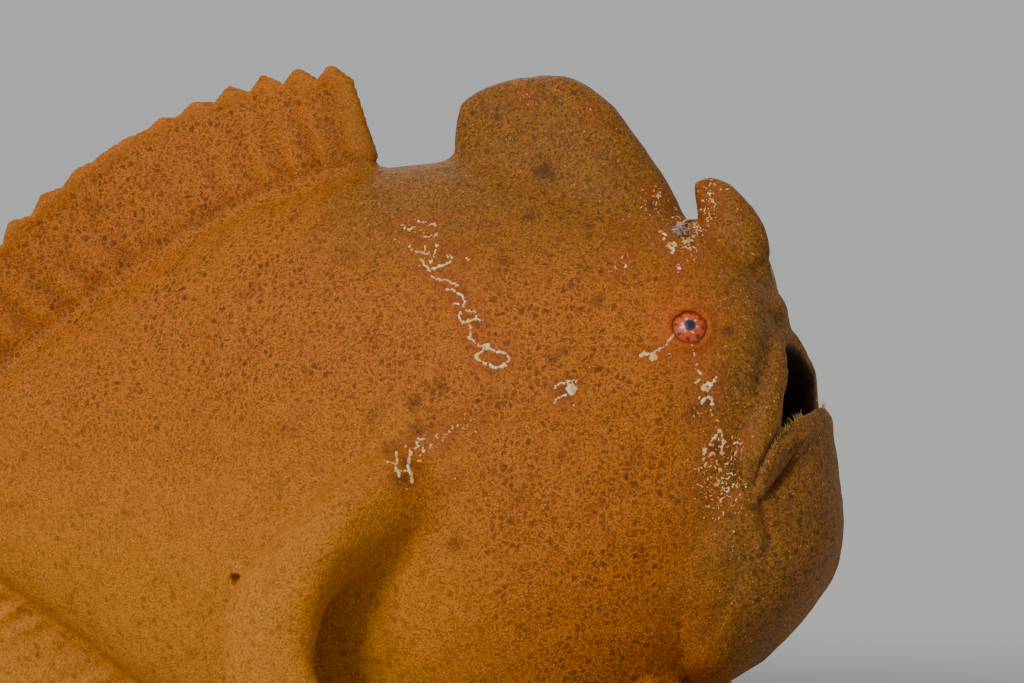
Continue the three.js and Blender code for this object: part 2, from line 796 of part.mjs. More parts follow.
const grownBody = bodySolid.subtract(floorBlock);
const headBlock = sideOfNeck(true);
const headFlesh = join([grownBody.intersect(headBlock), solid(upperLip), solid(snoutBump), ...faceDetails()]);
const head = cut(headFlesh, [solid(throatGeometry()), ...sockets, ...nostrilPits()]);
const backBody = join([grownBody, ...pores.map((pore) => pore.ring)]).intersect(sideOfNeck(false));
const trunk = cut(backBody.intersect(sideOfTail(true)), pores.map((pore) => pore.pit));
const tail = backBody.intersect(sideOfTail(false));

// The nodes

const fish = new THREE.Group();
const add = (name, body, material) => fish.add(meshOf(name, body, material));

add("head", head, skinMaterial);
add("trunk", trunk, skinMaterial);
add("tail", tail, skinMaterial);
add("lower_jaw", lowerJaw(), skinMaterial);
add("second_dorsal_spine", solid(secondSpine).subtract(bodyCutter), skinMaterial);
add("third_dorsal_spine", solid(thirdSpine).subtract(bodyCutter), skinMaterial);

const spineCutters = [bodyCutter, grown(secondSpine), grown(thirdSpine)];
const rodCutters = [...spineCutters, grown(snoutBump), grown(lureCore)];
add("fishing_rod", cut(solid(rod), rodCutters), lureMaterial);
add("lure", cut(lure(), spineCutters), lureMaterial);

add("dorsal_fin", cut(solid(dorsalFin), [bodyCutter]), finMaterial);
add("anal_fin", cut(solid(analFin), [bodyCutter]), finMaterial);
add("tail_fin", cut(solid(tailFinGeometry()), [bodyCutter]), finMaterial);

for (const [name, side] of [["left", 1], ["right", -1]]) {
  const { geometry, shift } = arms[name];
  add(`arm_${name}`, cut(solid(geometry), [bodyCutter, floorBlock]), skinMaterial);
  add(`hand_${name}`, cut(solid(hand(side, shift)), [grown(geometry), bodyCutter, floorBlock]), finMaterial);
  add(`foot_${name}`, cut(solid(foot(side)), [bodyCutter, jawCutter, floorBlock]), finMaterial);
  add(`eye_${name}`, solid(eyeball(side)), eyeMaterial);
}

// The origin is on the floor, under the middle of the fish.
const extent = new THREE.Box3().setFromObject(fish);
const centre = extent.getCenter(vec());
fish.children.forEach((mesh) => mesh.position.set(-centre.x, -centre.y, -FLOOR_Z));

export default fish;
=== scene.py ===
# %% [markdown]
# # A giant frogfish, as a museum model
#
# A frogfish sits on the sea bed on its belly, two arms and two small feet. Its skin is loose and
# finely prickly, with no scales to see, so the whole fish reads as one soft surface. The model has
# that surface as one mesh, built over the parts that were made before it, and everything smaller,
# such as the eyes, the crust of pale marks and the lure, is a piece of its own that lies on it.

# %% load the fish and measure it
import math
import random

import bmesh
import bpy
import numpy as np
from mathutils import Matrix, Vector, noise
from mathutils.bvhtree import BVHTree
from mathutils.kdtree import KDTree


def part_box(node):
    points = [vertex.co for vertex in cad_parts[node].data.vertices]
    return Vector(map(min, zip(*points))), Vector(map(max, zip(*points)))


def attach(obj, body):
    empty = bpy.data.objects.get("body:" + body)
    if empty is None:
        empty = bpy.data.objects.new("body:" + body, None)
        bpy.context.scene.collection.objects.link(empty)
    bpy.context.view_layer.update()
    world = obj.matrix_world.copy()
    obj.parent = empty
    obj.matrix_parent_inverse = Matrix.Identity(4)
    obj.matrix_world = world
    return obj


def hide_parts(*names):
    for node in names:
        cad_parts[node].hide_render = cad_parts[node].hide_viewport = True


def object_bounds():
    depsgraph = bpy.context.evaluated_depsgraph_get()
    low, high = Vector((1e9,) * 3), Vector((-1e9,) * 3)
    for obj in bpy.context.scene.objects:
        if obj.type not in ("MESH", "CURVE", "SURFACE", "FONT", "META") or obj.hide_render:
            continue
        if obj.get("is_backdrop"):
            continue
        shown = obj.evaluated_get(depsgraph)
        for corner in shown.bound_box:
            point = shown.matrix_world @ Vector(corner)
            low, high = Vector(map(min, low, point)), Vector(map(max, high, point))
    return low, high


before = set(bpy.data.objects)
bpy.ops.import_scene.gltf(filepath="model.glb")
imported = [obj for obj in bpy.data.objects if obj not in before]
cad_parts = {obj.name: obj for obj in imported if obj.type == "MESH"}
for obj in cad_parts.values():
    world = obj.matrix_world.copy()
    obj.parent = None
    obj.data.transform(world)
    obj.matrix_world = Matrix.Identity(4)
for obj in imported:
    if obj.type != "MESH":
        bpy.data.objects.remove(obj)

MM = 0.001  # sizes below are written in millimetres
cad_low, cad_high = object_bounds()
print("the fish is", [round(1000 * s) for s in cad_high - cad_low], "mm long, wide and high")

# %% [markdown]
# ## The camera
#
# The picture was taken from the fish's right, a little ahead of it and level with its cheek, with a
# long lens. The right eye is the best point to measure from, because it is small, sharp and exact:
# the middle of the picture lies a little behind it, on the fish's own middle plane.

# %% the camera
CAMERA_TURN = math.radians(18)
CAMERA_DISTANCE = 800 * MM
LENS = 105.3  # millimetres, on a sensor 36 mm wide
SENSOR = 36
PICTURE = (1024, 683)

eye_low, eye_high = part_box("eye_right")
right_eye = (eye_low + eye_high) / 2
picture_middle = Vector((right_eye.x - 54.9 * MM, 0, 112 * MM))
ahead = Vector((-math.sin(CAMERA_TURN), math.cos(CAMERA_TURN), 0))
rightwards = Vector((math.cos(CAMERA_TURN), math.sin(CAMERA_TURN), 0))
upwards = Vector((0, 0, 1))

camera_data = bpy.data.cameras.new("camera")
camera_data.lens = LENS
camera_data.sensor_width = SENSOR
camera = bpy.data.objects.new("camera", camera_data)
camera.location = picture_middle - ahead * CAMERA_DISTANCE
camera.rotation_euler = (math.radians(90), 0, CAMERA_TURN)
bpy.context.scene.collection.objects.link(camera)
bpy.context.scene.camera = camera
print("the camera stands at", [round(x / MM) for x in camera.location], "mm")


# %% a line of sight through a point of the picture
def sight(across, down):
    focal = LENS / SENSOR * PICTURE[0]
    way = ahead * focal + rightwards * (across - PICTURE[0] / 2) + upwards * (PICTURE[1] / 2 - down)
    return way.normalized()


# %% [markdown]
# ## One skin
#
# The fish was made in parts with hair-thin gaps between them. A living one has no seams, so copies
# of the fleshy parts are each grown by a quarter of a millimetre, which closes the gaps, and put
# into one mesh. A voxel remesh then melts them into a single closed surface of small, even quads.

# %% gather the fleshy parts
FLESH = [
    "head", "trunk", "tail", "lower_jaw", "second_dorsal_spine", "third_dorsal_spine",
    "dorsal_fin", "anal_fin", "tail_fin", "arm_left", "arm_right", "hand_left", "hand_right",
    "foot_left", "foot_right",
]
GROWTH = 0.25 * MM
VOXEL = 0.85 * MM


def pour(part, whole):
    copy = bpy.data.meshes.new("batch")
    part.to_mesh(copy)
    part.free()
    whole.from_mesh(copy)
    bpy.data.meshes.remove(copy)


def add_grown(whole, node, growth):
    part = bmesh.new()
    part.from_mesh(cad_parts[node].data)
    bmesh.ops.remove_doubles(part, verts=part.verts, dist=1e-6)
    part.normal_update()
    moves = [vertex.normal * growth for vertex in part.verts]
    for vertex, move in zip(part.verts, moves):
        vertex.co += move
    pour(part, whole)


def as_object(name, made):
    mesh = bpy.data.meshes.new(name)
    made.to_mesh(mesh)
    made.free()
    piece = bpy.data.objects.new(name, mesh)
    bpy.context.scene.collection.objects.link(piece)
    return piece


gathered = bmesh.new()
for node in FLESH:
    add_grown(gathered, node, GROWTH)
skin = as_object("skin", gathered)
print("gathered", len(skin.data.polygons), "faces of", len(FLESH), "parts")


# %% melt them together
def apply_modifiers(piece):
    bpy.context.view_layer.update()
    evaluated = piece.evaluated_get(bpy.context.evaluated_depsgraph_get())
    finished = bpy.data.meshes.new_from_object(evaluated)
    rough = piece.data
    piece.modifiers.clear()
    piece.data = finished
    bpy.data.meshes.remove(rough)


def melt(piece, voxel):
    remesh = piece.modifiers.new("melt", "REMESH")
    remesh.mode = "VOXEL"
    remesh.voxel_size = voxel
    apply_modifiers(piece)


melt(skin, VOXEL)
print("the skin has", len(skin.data.vertices), "points")


# %% [markdown]
# ## Smoothing what should be soft
#
# The parts were made of flat facets, whose edges still show in the melted skin. Smoothing takes
# them out, but it would also rub off the lids, lips and fin rays. So every point first compares
# the way it faces with its neighbourhood: on a facet's edge the two differ by a few degrees, and
# on a lid or a ray by many. Only the first kind is smoothed.


# %% arrays for the shape, and the mean of each point's neighbours
def read_points(mesh, what="co"):
    values = np.zeros(len(mesh.vertices) * 3)
    if what == "co":
        mesh.vertices.foreach_get("co", values)
    else:
        mesh.vertex_normals.foreach_get("vector", values)
    return values.reshape(-1, 3)


def write_points(mesh, points):
    mesh.vertices.foreach_set("co", points.ravel())
    mesh.update()


def edge_ends(mesh):
    ends = np.zeros(len(mesh.edges) * 2, dtype=np.int64)
    mesh.edges.foreach_get("vertices", ends)
    return ends.reshape(-1, 2)


class Neighbours:
    def __init__(self, mesh):
        self.a, self.b = edge_ends(mesh).T
        self.count = len(mesh.vertices)
        self.degree = np.bincount(self.a, minlength=self.count) + np.bincount(self.b, minlength=self.count)

    def mean(self, values):
        table = values.reshape(self.count, -1)
        sums = np.empty_like(table)
        for column in range(table.shape[1]):
            here = table[:, column]
            sums[:, column] = np.bincount(self.a, here[self.b], self.count)
            sums[:, column] += np.bincount(self.b, here[self.a], self.count)
        return (sums / np.maximum(self.degree, 1)[:, None]).reshape(values.shape)


def smooth_step(low, high, values):
    share = np.clip((values - low) / (high - low), 0, 1)
    return share * share * (3 - 2 * share)


def relax(points, weight, rounds, step=0.5):
    for _ in range(rounds):
        points = points + step * weight[:, None] * (neighbours.mean(points) - points)
    return points


# %% search trees over the parts, and how far points lie from them
def tree_of(names):
    part = bmesh.new()
    for name in names:
        add_grown(part, name, 0)
    tree = BVHTree.FromBMesh(part)
    part.free()
    return tree


def distances(tree, points, farthest):
    found = np.full(len(points), farthest)
    for i, point in enumerate(points):
        hit = tree.find_nearest(point, farthest)
        if hit[0] is not None:
            found[i] = hit[3]
    return found


# %% find what is soft, and smooth it
ROUNDS = 60
FACET_TURN = 8  # degrees from its surroundings at which a point starts to count as an edge
EDGE_TURN = 17  # degrees at which it is wholly one
FIN_SMOOTHING = 0.2  # of what the body gets
FINS = ["dorsal_fin", "anal_fin", "tail_fin", "hand_left", "hand_right", "foot_left", "foot_right"]


def turn_from_surroundings(facing):
    around = facing.copy()
    for _ in range(ROUNDS // 5):
        around = neighbours.mean(around)
    around /= np.linalg.norm(around, axis=1)[:, None]
    return np.degrees(np.arccos(np.clip((facing * around).sum(axis=1), -1, 1)))


neighbours = Neighbours(skin.data)
points = read_points(skin.data)
on_fin = 1 - smooth_step(0.6 * MM, 1.8 * MM, distances(tree_of(FINS), points, 2 * MM))
soft = 1 - smooth_step(FACET_TURN, EDGE_TURN, turn_from_surroundings(read_points(skin.data, "normal")))
for _ in range(4):
    soft = np.minimum(soft, neighbours.mean(soft))
soft *= 1 - (1 - FIN_SMOOTHING) * on_fin
points = relax(points, soft, ROUNDS)
print(f"{100 * soft.mean():.0f} percent of the skin is soft")


# %% [markdown]
# ## Fillets where limbs and fins grow out
#
# An arm, a fin or a spine doesn't stand on the body in a sharp corner: the loose skin runs from
# one to the other in a small hollow. Points that are near both a limb and the body are found with
# search trees over the parts, and smoothed without regard to how sharply they turn.

# %% soften the roots
CORE = ["head", "trunk", "tail"]
LIMBS = ["second_dorsal_spine", "third_dorsal_spine", "dorsal_fin", "anal_fin", "tail_fin",
         "arm_left", "arm_right", "foot_left", "foot_right"]
FILLET = 4.5 * MM
core_tree = tree_of(CORE)
limb_tree = tree_of(LIMBS)
to_limb = distances(limb_tree, points, FILLET)
near_limb = np.flatnonzero(to_limb < FILLET)
to_core = np.full(len(points), FILLET)
to_core[near_limb] = distances(core_tree, points[near_limb], FILLET)
root = 1 - smooth_step(0.45 * FILLET, FILLET, np.maximum(to_limb, to_core))
points = relax(points, root, ROUNDS // 2, 0.6)
write_points(skin.data, points)
print(int((root > 0).sum()), "points lie at a root")

# %% [markdown]
# ## Rays in the fins
#
# A fin, hand or foot is skin drawn over bony rays. The parts hold each ray as a low ridge, and
# melting has worn it down. Sharpening brings it back, as in a photograph: the skin is compared
# with a much smoother copy of itself, and what stands out of the copy is made to stand out more.

# %% raise the rays
RAISE = 1.9
MOST_RAISED = 0.75 * MM
MOST_STANDING = 0.4 * MM  # no ray is taken to stand out by more than this
RIM_TURN = (22, 45)  # degrees between which a point passes from the fin's side to its rim
smoothed = relax(points, on_fin, ROUNDS)
facing = read_points(skin.data, "normal")
flat = 1 - smooth_step(*RIM_TURN, turn_from_surroundings(facing))
standing = ((points - smoothed) * facing).sum(axis=1) * flat * on_fin * (1 - root)
standing = np.clip(standing, -MOST_STANDING, MOST_STANDING)
points += facing * np.clip(RAISE * standing, -MOST_RAISED, MOST_RAISED)[:, None]
print("rays are raised by up to", round(RAISE * standing.max() / MM, 2), "mm")

# %% round the tip of the lower jaw
JAW_ROUND = 8 * MM
TIP_UNDER_EYE = 20 * MM
NARROWED = np.array([1, 0.35, 1])  # the tip is nearly three times as wide as it is long
_, jaw_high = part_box("lower_jaw")
jaw_tip = np.array([jaw_high.x - 1.5 * MM, 0, right_eye.z - TIP_UNDER_EYE])
from_tip = np.linalg.norm((points - jaw_tip) * NARROWED, axis=1)
tip = 1 - smooth_step(0.5 * JAW_ROUND, JAW_ROUND, from_tip)
points = relax(points, tip, ROUNDS // 2, 0.6)
points = relax(points, 1 - 0.7 * on_fin, 2, 0.4)
write_points(skin.data, points)
print(int((tip > 0).sum()), "points lie at the jaw's tip")

# %% [markdown]
# ## Folds and lumps
#
# Frogfish skin is baggy. Low, wide lumps come from smooth noise in space, so they run on from the
# body to its limbs. The creases of the face are drawn as short routes in the picture, cast on to the
# skin along the lines of sight, and pressed in with a soft edge. The face is alike on both sides, so
# each crease is pressed in on the far side too.


# %% points of the picture, cast on to the skin
def skin_tree():
    made = bmesh.new()
    made.from_mesh(skin.data)
    tree = BVHTree.FromBMesh(made)
    made.free()
    return tree


tree = skin_tree()


def seen_at(across, down):
    place, normal, _, _ = tree.ray_cast(camera.location, sight(across, down))
    return place, normal


def cast_route(route, step=0.6 * MM):
    found = [seen_at(*pixel)[0] for pixel in route]
    found = [place for place in found if place is not None]
    dense = []
    for a, b in zip(found, found[1:]):
        count = max(1, int((b - a).length / step))
        dense += [a.lerp(b, k / count) for k in range(count)]
    return np.array(dense + found[-1:])


# Each crease: its route in the picture, its half width and its depth in millimetres.
CREASES = {
    "jaw fold": ([(797, 446), (794, 458), (785, 474), (773, 490), (762, 503)], 0.9, 1.5),
    "mouth line": ([(787, 424), (777, 438), (768, 452), (760, 468), (754, 484)], 0.8, 1.5),
    "above the nose": ([(772, 262), (764, 264), (755, 268)], 1.5, 1.1),
    "under the jaw fold": ([(762, 503), (764, 520), (770, 536), (768, 552)], 1.6, 1.1),
    "mouth corner": ([(752, 466), (750, 480), (753, 497)], 0.9, 1.0),
    "behind the lip": ([(766, 338), (771, 362), (768, 392), (756, 424), (745, 452)], 1.6, 0.5),
    "above the snout": ([(757, 300), (768, 309), (777, 322)], 1.4, 0.6),
    "cheek": ([(735, 372), (741, 404), (738, 438), (728, 470)], 2.6, 0.45),
    "throat": ([(748, 540), (738, 575), (722, 610), (700, 645)], 2.8, 0.8),
    "brow": ([(664, 304), (682, 298), (702, 300), (716, 310)], 1.8, 0.5),
}


REACH = 8 * MM  # no crease is felt further away
FULL_RED_SHADE = 1.5  # millimetres of depth at which a crease is wholly red


def nearest_to(route, points):
    low = route.min(axis=0) - REACH
    high = route.max(axis=0) + REACH
    inside = np.flatnonzero(((points > low) & (points < high)).all(axis=1))
    found = np.full(len(points), 1.0)
    for place in route:
        found[inside] = np.minimum(found[inside], np.linalg.norm(points[inside] - place, axis=1))
    return found


# How far each point is pressed in, and how much dark red painted shade its crease puts in the colour.
pressed = np.zeros(len(points))
crease_red_shade = np.zeros(len(points))
MIRROR = np.array([1, -1, 1])
for route, half_width, depth in CREASES.values():
    dense = cast_route(route)
    for side in (dense, dense * MIRROR):
        profile = np.exp(-((nearest_to(side, points) / (half_width * MM)) ** 2))
        pressed = np.maximum(pressed, depth * MM * profile)
        crease_red_shade = np.maximum(crease_red_shade, profile * min(1, depth / FULL_RED_SHADE))
print(len(CREASES), "creases on each side, the deepest", round(pressed.max() / MM, 2), "mm")


# %% lumps, and the creases pressed in
# The lumps are a sum of noises, each with its height and wavelength in millimetres and its seed.
LUMPS = [(0.9, 27, 3), (0.42, 9, 5), (0.16, 3.2, 8)]
ON_EDGES = 0.35  # of the lumps' height stays on lids, lips and rays


def noise_over(points, wavelength, seed):
    shift = Vector((seed, 2.7 * seed, -1.3 * seed))
    return np.array([noise.noise(Vector(point) / wavelength + shift) for point in points])


lumps = sum(height * noise_over(points, wavelength * MM, seed) for height, wavelength, seed in LUMPS)
facing = read_points(skin.data, "normal")
keep = ON_EDGES + (1 - ON_EDGES) * soft
points += facing * (keep * lumps * MM - pressed)[:, None]
points[:, 2] = np.maximum(points[:, 2], 0)  # nothing goes under the floor
write_points(skin.data, points)
print("lumps run from", round(lumps.min(), 2), "to", round(lumps.max(), 2), "mm")

# %% [markdown]
# ## Where the colours change
#
# The colour of the skin changes slowly from place to place: olive on the head and the hump, orange
# with dark spots on the flank, some of which are painted shade, yellow low at the rear, painted shade
# inside the mouth and in the creases, and reddish round the eye and the pale marks. Each change is
# stored on the points of the skin as an attribute, a number from 0 to 1, which the material reads and
# mixes with its finer patterns.

# %% the routes of the pale marks, in the picture
# Each mark: the radius of its grains in millimetres, how many to the millimetre, and its route.
MARKS = [
    (0.27, 4.5, [(402, 223), (407, 230), (415, 228), (419, 221), (428, 224), (438, 224)]),
    (0.25, 4.5, [(421, 237), (428, 236), (438, 235)]),
    (0.30, 4.8, [(410, 246), (413, 250), (418, 252), (424, 254), (430, 253)]),
    (0.25, 4.5, [(426, 245), (424, 250)]),
    (0.27, 4.8, [(437, 245), (435, 252), (433, 258), (430, 264)]),
    (0.30, 5.0, [(421, 260), (425, 265), (431, 270), (438, 266), (446, 265), (453, 260), (451, 255),
                 (447, 256)]),
    (0.25, 4.5, [(465, 255), (468, 260)]),
    (0.30, 5.5, [(431, 275), (436, 280), (446, 280), (453, 283), (458, 286)]),
    (0.31, 5.5, [(444, 290), (451, 289), (458, 293), (463, 296), (465, 304)]),
    (0.27, 4.8, [(451, 305), (458, 304), (465, 306)]),
    (0.31, 5.5, [(461, 312), (459, 319), (463, 323), (470, 321), (476, 318), (475, 312), (470, 311),
                 (465, 310)]),
    (0.26, 4.5, [(476, 319), (483, 320)]),
    (0.30, 5.5, [(470, 324), (471, 329), (470, 338), (475, 343), (480, 346), (488, 344), (488, 348)]),
    (0.26, 4.5, [(463, 337), (470, 338)]),
    (0.33, 5.8, [(488, 348), (481, 352), (475, 357), (480, 361), (486, 364), (494, 367)]),
    (0.33, 5.8, [(488, 348), (496, 352), (503, 352), (508, 357), (510, 359), (507, 363), (502, 367),
                 (495, 367)]),
    (0.32, 5.5, [(576, 381), (569, 381), (562, 383), (556, 386), (554, 390)]),
    (0.42, 7.0, [(569, 384), (575, 388), (574, 394), (570, 392), (568, 387)]),
    (0.28, 4.8, [(571, 394), (562, 396), (557, 400), (554, 402)]),
    (0.26, 3.5, [(567, 407), (576, 404)]),
    (0.20, 2.4, [(615, 260), (615, 265), (612, 271)]),
    (0.20, 2.4, [(628, 253), (626, 260), (624, 268)]),
    (0.18, 1.8, [(622, 220), (625, 230)]),
    (0.27, 5.5, [(675, 333), (671, 339), (666, 345.5), (661, 349.6)]),
    (0.33, 5.5, [(661, 349.6), (657, 351.6), (653, 353.5), (648, 354.7), (641.4, 354.7), (639, 356.7)]),
    (0.42, 9.0, [(652, 355), (656, 358), (651, 359), (654, 357)]),
    (0.24, 1.2, [(666, 355), (671, 351.6)]),
    (0.27, 3.5, [(692, 345), (694, 350), (695.5, 355.8)]),
    (0.30, 5.0, [(697.3, 363), (696.7, 369), (699.7, 372.7), (700.3, 377.6), (697.3, 382.4), (695, 384)]),
    (0.36, 6.5, [(702, 384.8), (703.3, 389.7), (707, 390.9), (710.6, 386), (708.2, 382.4), (706, 387)]),
    (0.29, 4.5, [(710, 386), (713, 381.2), (716, 376.4)]),
    (0.30, 5.0, [(699.1, 399.4), (699.7, 395.8)]),
    (0.32, 5.8, [(701.5, 406), (702.7, 400.6), (707, 397), (711.2, 398.2), (712.4, 403), (712.4, 406)]),
    (0.26, 2.5, [(712.4, 392.1), (719, 392)]),
    (0.26, 3.5, [(699.1, 412), (699.3, 416)]),
    (0.24, 2.8, [(710.6, 410.3), (713.6, 416.4), (716.7, 420.6), (719.7, 422.4)]),
    (0.28, 5.0, [(718.5, 429.1), (717.9, 432.7), (714.2, 438.2), (710.6, 444.2), (705.2, 449.7),
                 (702.1, 453.9)]),
    (0.28, 4.8, [(718.5, 429.1), (722.1, 433.3), (722.7, 438.2), (722.7, 445.5), (719.7, 451.5)]),
    (0.27, 4.8, [(703.3, 460), (708.2, 456.4), (713, 453.9), (716.7, 456.4)]),
    (0.24, 3.5, [(703, 465), (708.2, 463.6)]),
    (0.26, 4.0, [(724, 441), (729, 443)]),
    (0.22, 2.6, [(732, 446), (739, 441), (744.5, 437.6), (750.6, 437)]),
    (0.24, 3.0, [(693.6, 487.9), (696, 485.5), (699.1, 483.6)]),
    (0.26, 3.5, [(709.4, 497.6), (712, 497)]),
    (0.25, 3.0, [(722.1, 493.3), (722, 499), (720.9, 505.5)]),
    (0.25, 3.0, [(732, 502), (733.6, 506)]),
    (0.24, 3.0, [(714, 517), (716, 521.8)]),
    (0.30, 5.0, [(680, 225), (680.4, 231.1), (681.1, 235.7), (685, 239.5), (688, 241.8)]),
    (0.42, 6.5, [(690, 240.3), (692.6, 239), (693.5, 236.4)]),
    (0.28, 5.0, [(691.1, 235.7), (689.6, 231.1), (689.6, 225.7), (685, 223.4), (681.9, 221.9), (680, 225)]),
    (0.27, 4.5, [(691.9, 222.5), (694.1, 221.1), (697.2, 225), (698.7, 228.8)]),
    (0.27, 4.5, [(693.4, 223.4), (694.9, 228.8), (696.4, 232.6), (698.7, 233.4)]),
    (0.30, 4.0, [(672.7, 216.6), (678.8, 217.7), (681.9, 218.8)]),
    (0.28, 2.6, [(668.9, 199.7), (669, 203)]),
    (0.27, 3.0, [(675, 207.4), (678.1, 212.7)]),
    (0.28, 2.5, [(668.9, 210.4), (671, 213)]),
    (0.24, 3.2, [(645.2, 201.2), (645.9, 208.9), (648.2, 213.5), (651.3, 215.8)]),
    (0.24, 3.2, [(652.8, 211.2), (655.9, 209.7), (655.9, 205.1), (659, 199)]),
    (0.22, 2.8, [(661.2, 195.1), (657.4, 195.1), (649.8, 199)]),
    (0.20, 2.0, [(652, 187.5), (655, 190.5), (647, 193.6)]),
    (0.27, 4.2, [(682.7, 243.3), (686.5, 244.1), (690.3, 245.2)]),
    (0.27, 4.2, [(685, 247.2), (689.6, 249.4), (695.7, 247.2)]),
    (0.25, 3.6, [(692.6, 250.2), (697.2, 251.7)]),
    (0.33, 5.5, [(659, 231.9), (662, 231.5), (665.1, 234.1), (662.8, 237.2), (664.3, 241)]),
    (0.40, 7.0, [(667.4, 246.4), (670.4, 244.1), (674.3, 242.6), (676, 245.5), (672, 248.5),
                 (670.4, 246.4)]),
    (0.28, 4.0, [(672, 250), (674, 254)]),
    (0.24, 3.0, [(691.1, 254.8), (694.9, 257.1), (693.4, 262.5)]),
    (0.27, 3.8, [(679.6, 262.5), (677.3, 267), (680.4, 267.8), (676.6, 272.4)]),
    (0.22, 2.6, [(707.2, 182.9), (709.5, 185.2), (712.5, 178.3), (715.6, 184.4), (710.2, 186.7)]),
    (0.22, 2.4, [(724, 189.8), (731.6, 188.2)]),
    (0.22, 2.6, [(707.2, 193.6), (711, 195.1), (714, 192.8)]),
    (0.21, 2.4, [(701.8, 199), (705.6, 201.2), (709.5, 202), (713.3, 199)]),
    (0.21, 2.2, [(704.9, 206.6), (710.2, 208.1), (717.1, 208.1)]),
    (0.21, 2.2, [(704.9, 213.5), (707.9, 215), (705.6, 218.8)]),
    (0.20, 1.6, [(703.3, 228), (707.2, 230.3), (702.6, 234.9), (714, 245.6)]),
    (0.34, 5.5, [(396.8, 452.8), (397.5, 458.1), (396, 463.5), (396.8, 468.9), (398.3, 473.5),
                 (399.1, 478)]),
    (0.26, 4.0, [(385.3, 461.2), (391.4, 462.7), (394.5, 463.5)]),
    (0.26, 3.8, [(399.1, 470.4), (403.7, 469.6), (406.7, 471.9)]),
    (0.38, 5.5, [(410.6, 449.7), (410.2, 453.6), (409.8, 458.1), (410.2, 462.7), (408.3, 466.6),
                 (409.8, 470.4)]),
    (0.36, 5.2, [(409.8, 470.4), (412.1, 474.2), (412.1, 477.3), (411.7, 479.6), (411.3, 484.2)]),
    (0.30, 3.0, [(406.3, 444), (406.5, 446)]),
    (0.28, 3.6, [(407.5, 488.8), (403.7, 489.1)]),
    (0.29, 4.5, [(416.7, 439), (417.8, 444.4), (417.4, 447.4), (414.4, 449.7)]),
    (0.30, 4.8, [(421.3, 440.5), (424.3, 438.3)]),
    (0.26, 4.2, [(422, 447.4), (423.9, 451.3), (422, 455.1)]),
    (0.30, 4.2, [(418, 462), (421.5, 460.5)]),
    (0.28, 4.6, [(432, 443.6), (430.4, 449)]),
    (0.24, 3.4, [(436.6, 434), (436.6, 438)]),
    (0.22, 3.4, [(438.9, 445.1), (443.5, 439.8), (446.5, 435.2), (450.3, 429.8), (456.5, 426.4),
                 (461, 424.5)]),
    (0.28, 3.6, [(464.9, 414.2), (469.5, 414.2)]),
    (0.20, 2.2, [(463.3, 419.1), (471, 420.7), (477.1, 417.6)]),
    (0.20, 1.8, [(471.8, 429.1), (465.6, 433.7)]),
    (0.22, 1.4, [(454.9, 475.7), (454.9, 484.2), (448.8, 486.5)]),
    (0.20, 1.6, [(518, 98), (526, 94), (532, 100), (524, 104)]),
    (0.18, 1.4, [(584, 104), (592, 108), (588, 114)]),
]
# Where loose grains are strewn: the middle and half size of each patch in the picture, and how many.
STREWN = [
    ((720, 466), (26, 34), 190),
    ((722, 500), (24, 26), 100),
    ((700, 474), (12, 26), 34),
    ((740, 445), (14, 12), 18),
    ((688, 238), (20, 18), 110),
    ((711, 205), (16, 30), 105),
    ((655, 202), (14, 16), 34),
    ((425, 240), (22, 26), 22),
    ((470, 425), (16, 14), 22),
    ((412, 462), (26, 22), 24),
    ((618, 262), (12, 12), 14),
]
# Dark spots beside the marks and elsewhere on the flank, partly painted shade (the cluster below the
# arm's root and the spot ahead of the eye): place in the picture and half width.
DARK_SPOTS_AND_SHADE = [
    ((467, 317), 0.9), ((651, 205), 1.5), ((686, 232), 1.1), ((545, 172), 2.6), ((553, 361), 1.5),
    ((564, 352), 1.3), ((413, 403), 1.6), ((441, 387), 1.5), ((562, 391), 1.3), ((708, 403), 1.0),
    ((392, 450), 2.6), ((404, 462), 2.2), ((400, 480), 2.4), ((418, 466), 1.6), ((420, 431), 1.6),
    ((694, 411), 1.8), ((444, 257), 1.0), ((715, 447), 1.2), ((727, 331), 1.5), ((596, 300), 1.6),
    ((530, 215), 1.5), ((590, 225), 1.3), ((505, 260), 1.3), ((520, 500), 1.4), ((455, 545), 1.8),
]

marked = np.vstack([cast_route(route) for _, _, route in MARKS])
marked = np.vstack([marked, marked * MIRROR])
print(len(MARKS), "marks with", len(marked), "points along them on both sides")


# %% slow changes, as numbers on the skin
RUDDY_REACH = 2.4 * MM
EYE_REACH = 8.2 * MM


def nearness(places, points, reach):
    finder = KDTree(len(places))
    for i, place in enumerate(places):
        finder.insert(place, i)
    finder.balance()
    found = np.array([finder.find(point)[2] for point in points])
    return np.exp(-((found / reach) ** 2))


def toward(points, place):
    way = place - points
    return way / np.linalg.norm(way, axis=1)[:, None]


# The zones run over heights above the floor and distances behind the eye, in millimetres.
left_eye = Vector((right_eye.x, -right_eye.y, right_eye.z))
facing = read_points(skin.data, "normal")
z = points[:, 2] / MM
from_front = (right_eye.x - points[:, 0]) / MM
ruddy = nearness(marked, points, RUDDY_REACH)
round_eye = nearness([right_eye, left_eye], points, EYE_REACH)
hump = smooth_step(118, 152, z) * smooth_step(118, 84, from_front)
olive = np.maximum(smooth_step(6, -16, from_front), 0.85 * hump)
yellow = smooth_step(112, 32, z) * smooth_step(26, 76, from_front)
# Dark spots, and painted shade below the arm's root and ahead of the eye, on both sides.
dark_spots_and_shade = np.zeros(len(points))
for pixel, half_width in DARK_SPOTS_AND_SHADE:
    place = np.array(seen_at(*pixel)[0])
    for spot in (place, place * MIRROR):
        spread = np.exp(-((np.linalg.norm(points - spot, axis=1) / (half_width * MM)) ** 2))
        dark_spots_and_shade = np.maximum(dark_spots_and_shade, spread)

MOUTH_MIDDLE = np.array([right_eye.x + 16 * MM, 0, 89.5 * MM])
MOUTH_RADII = np.array([27, 23.5, 25.5]) * MM
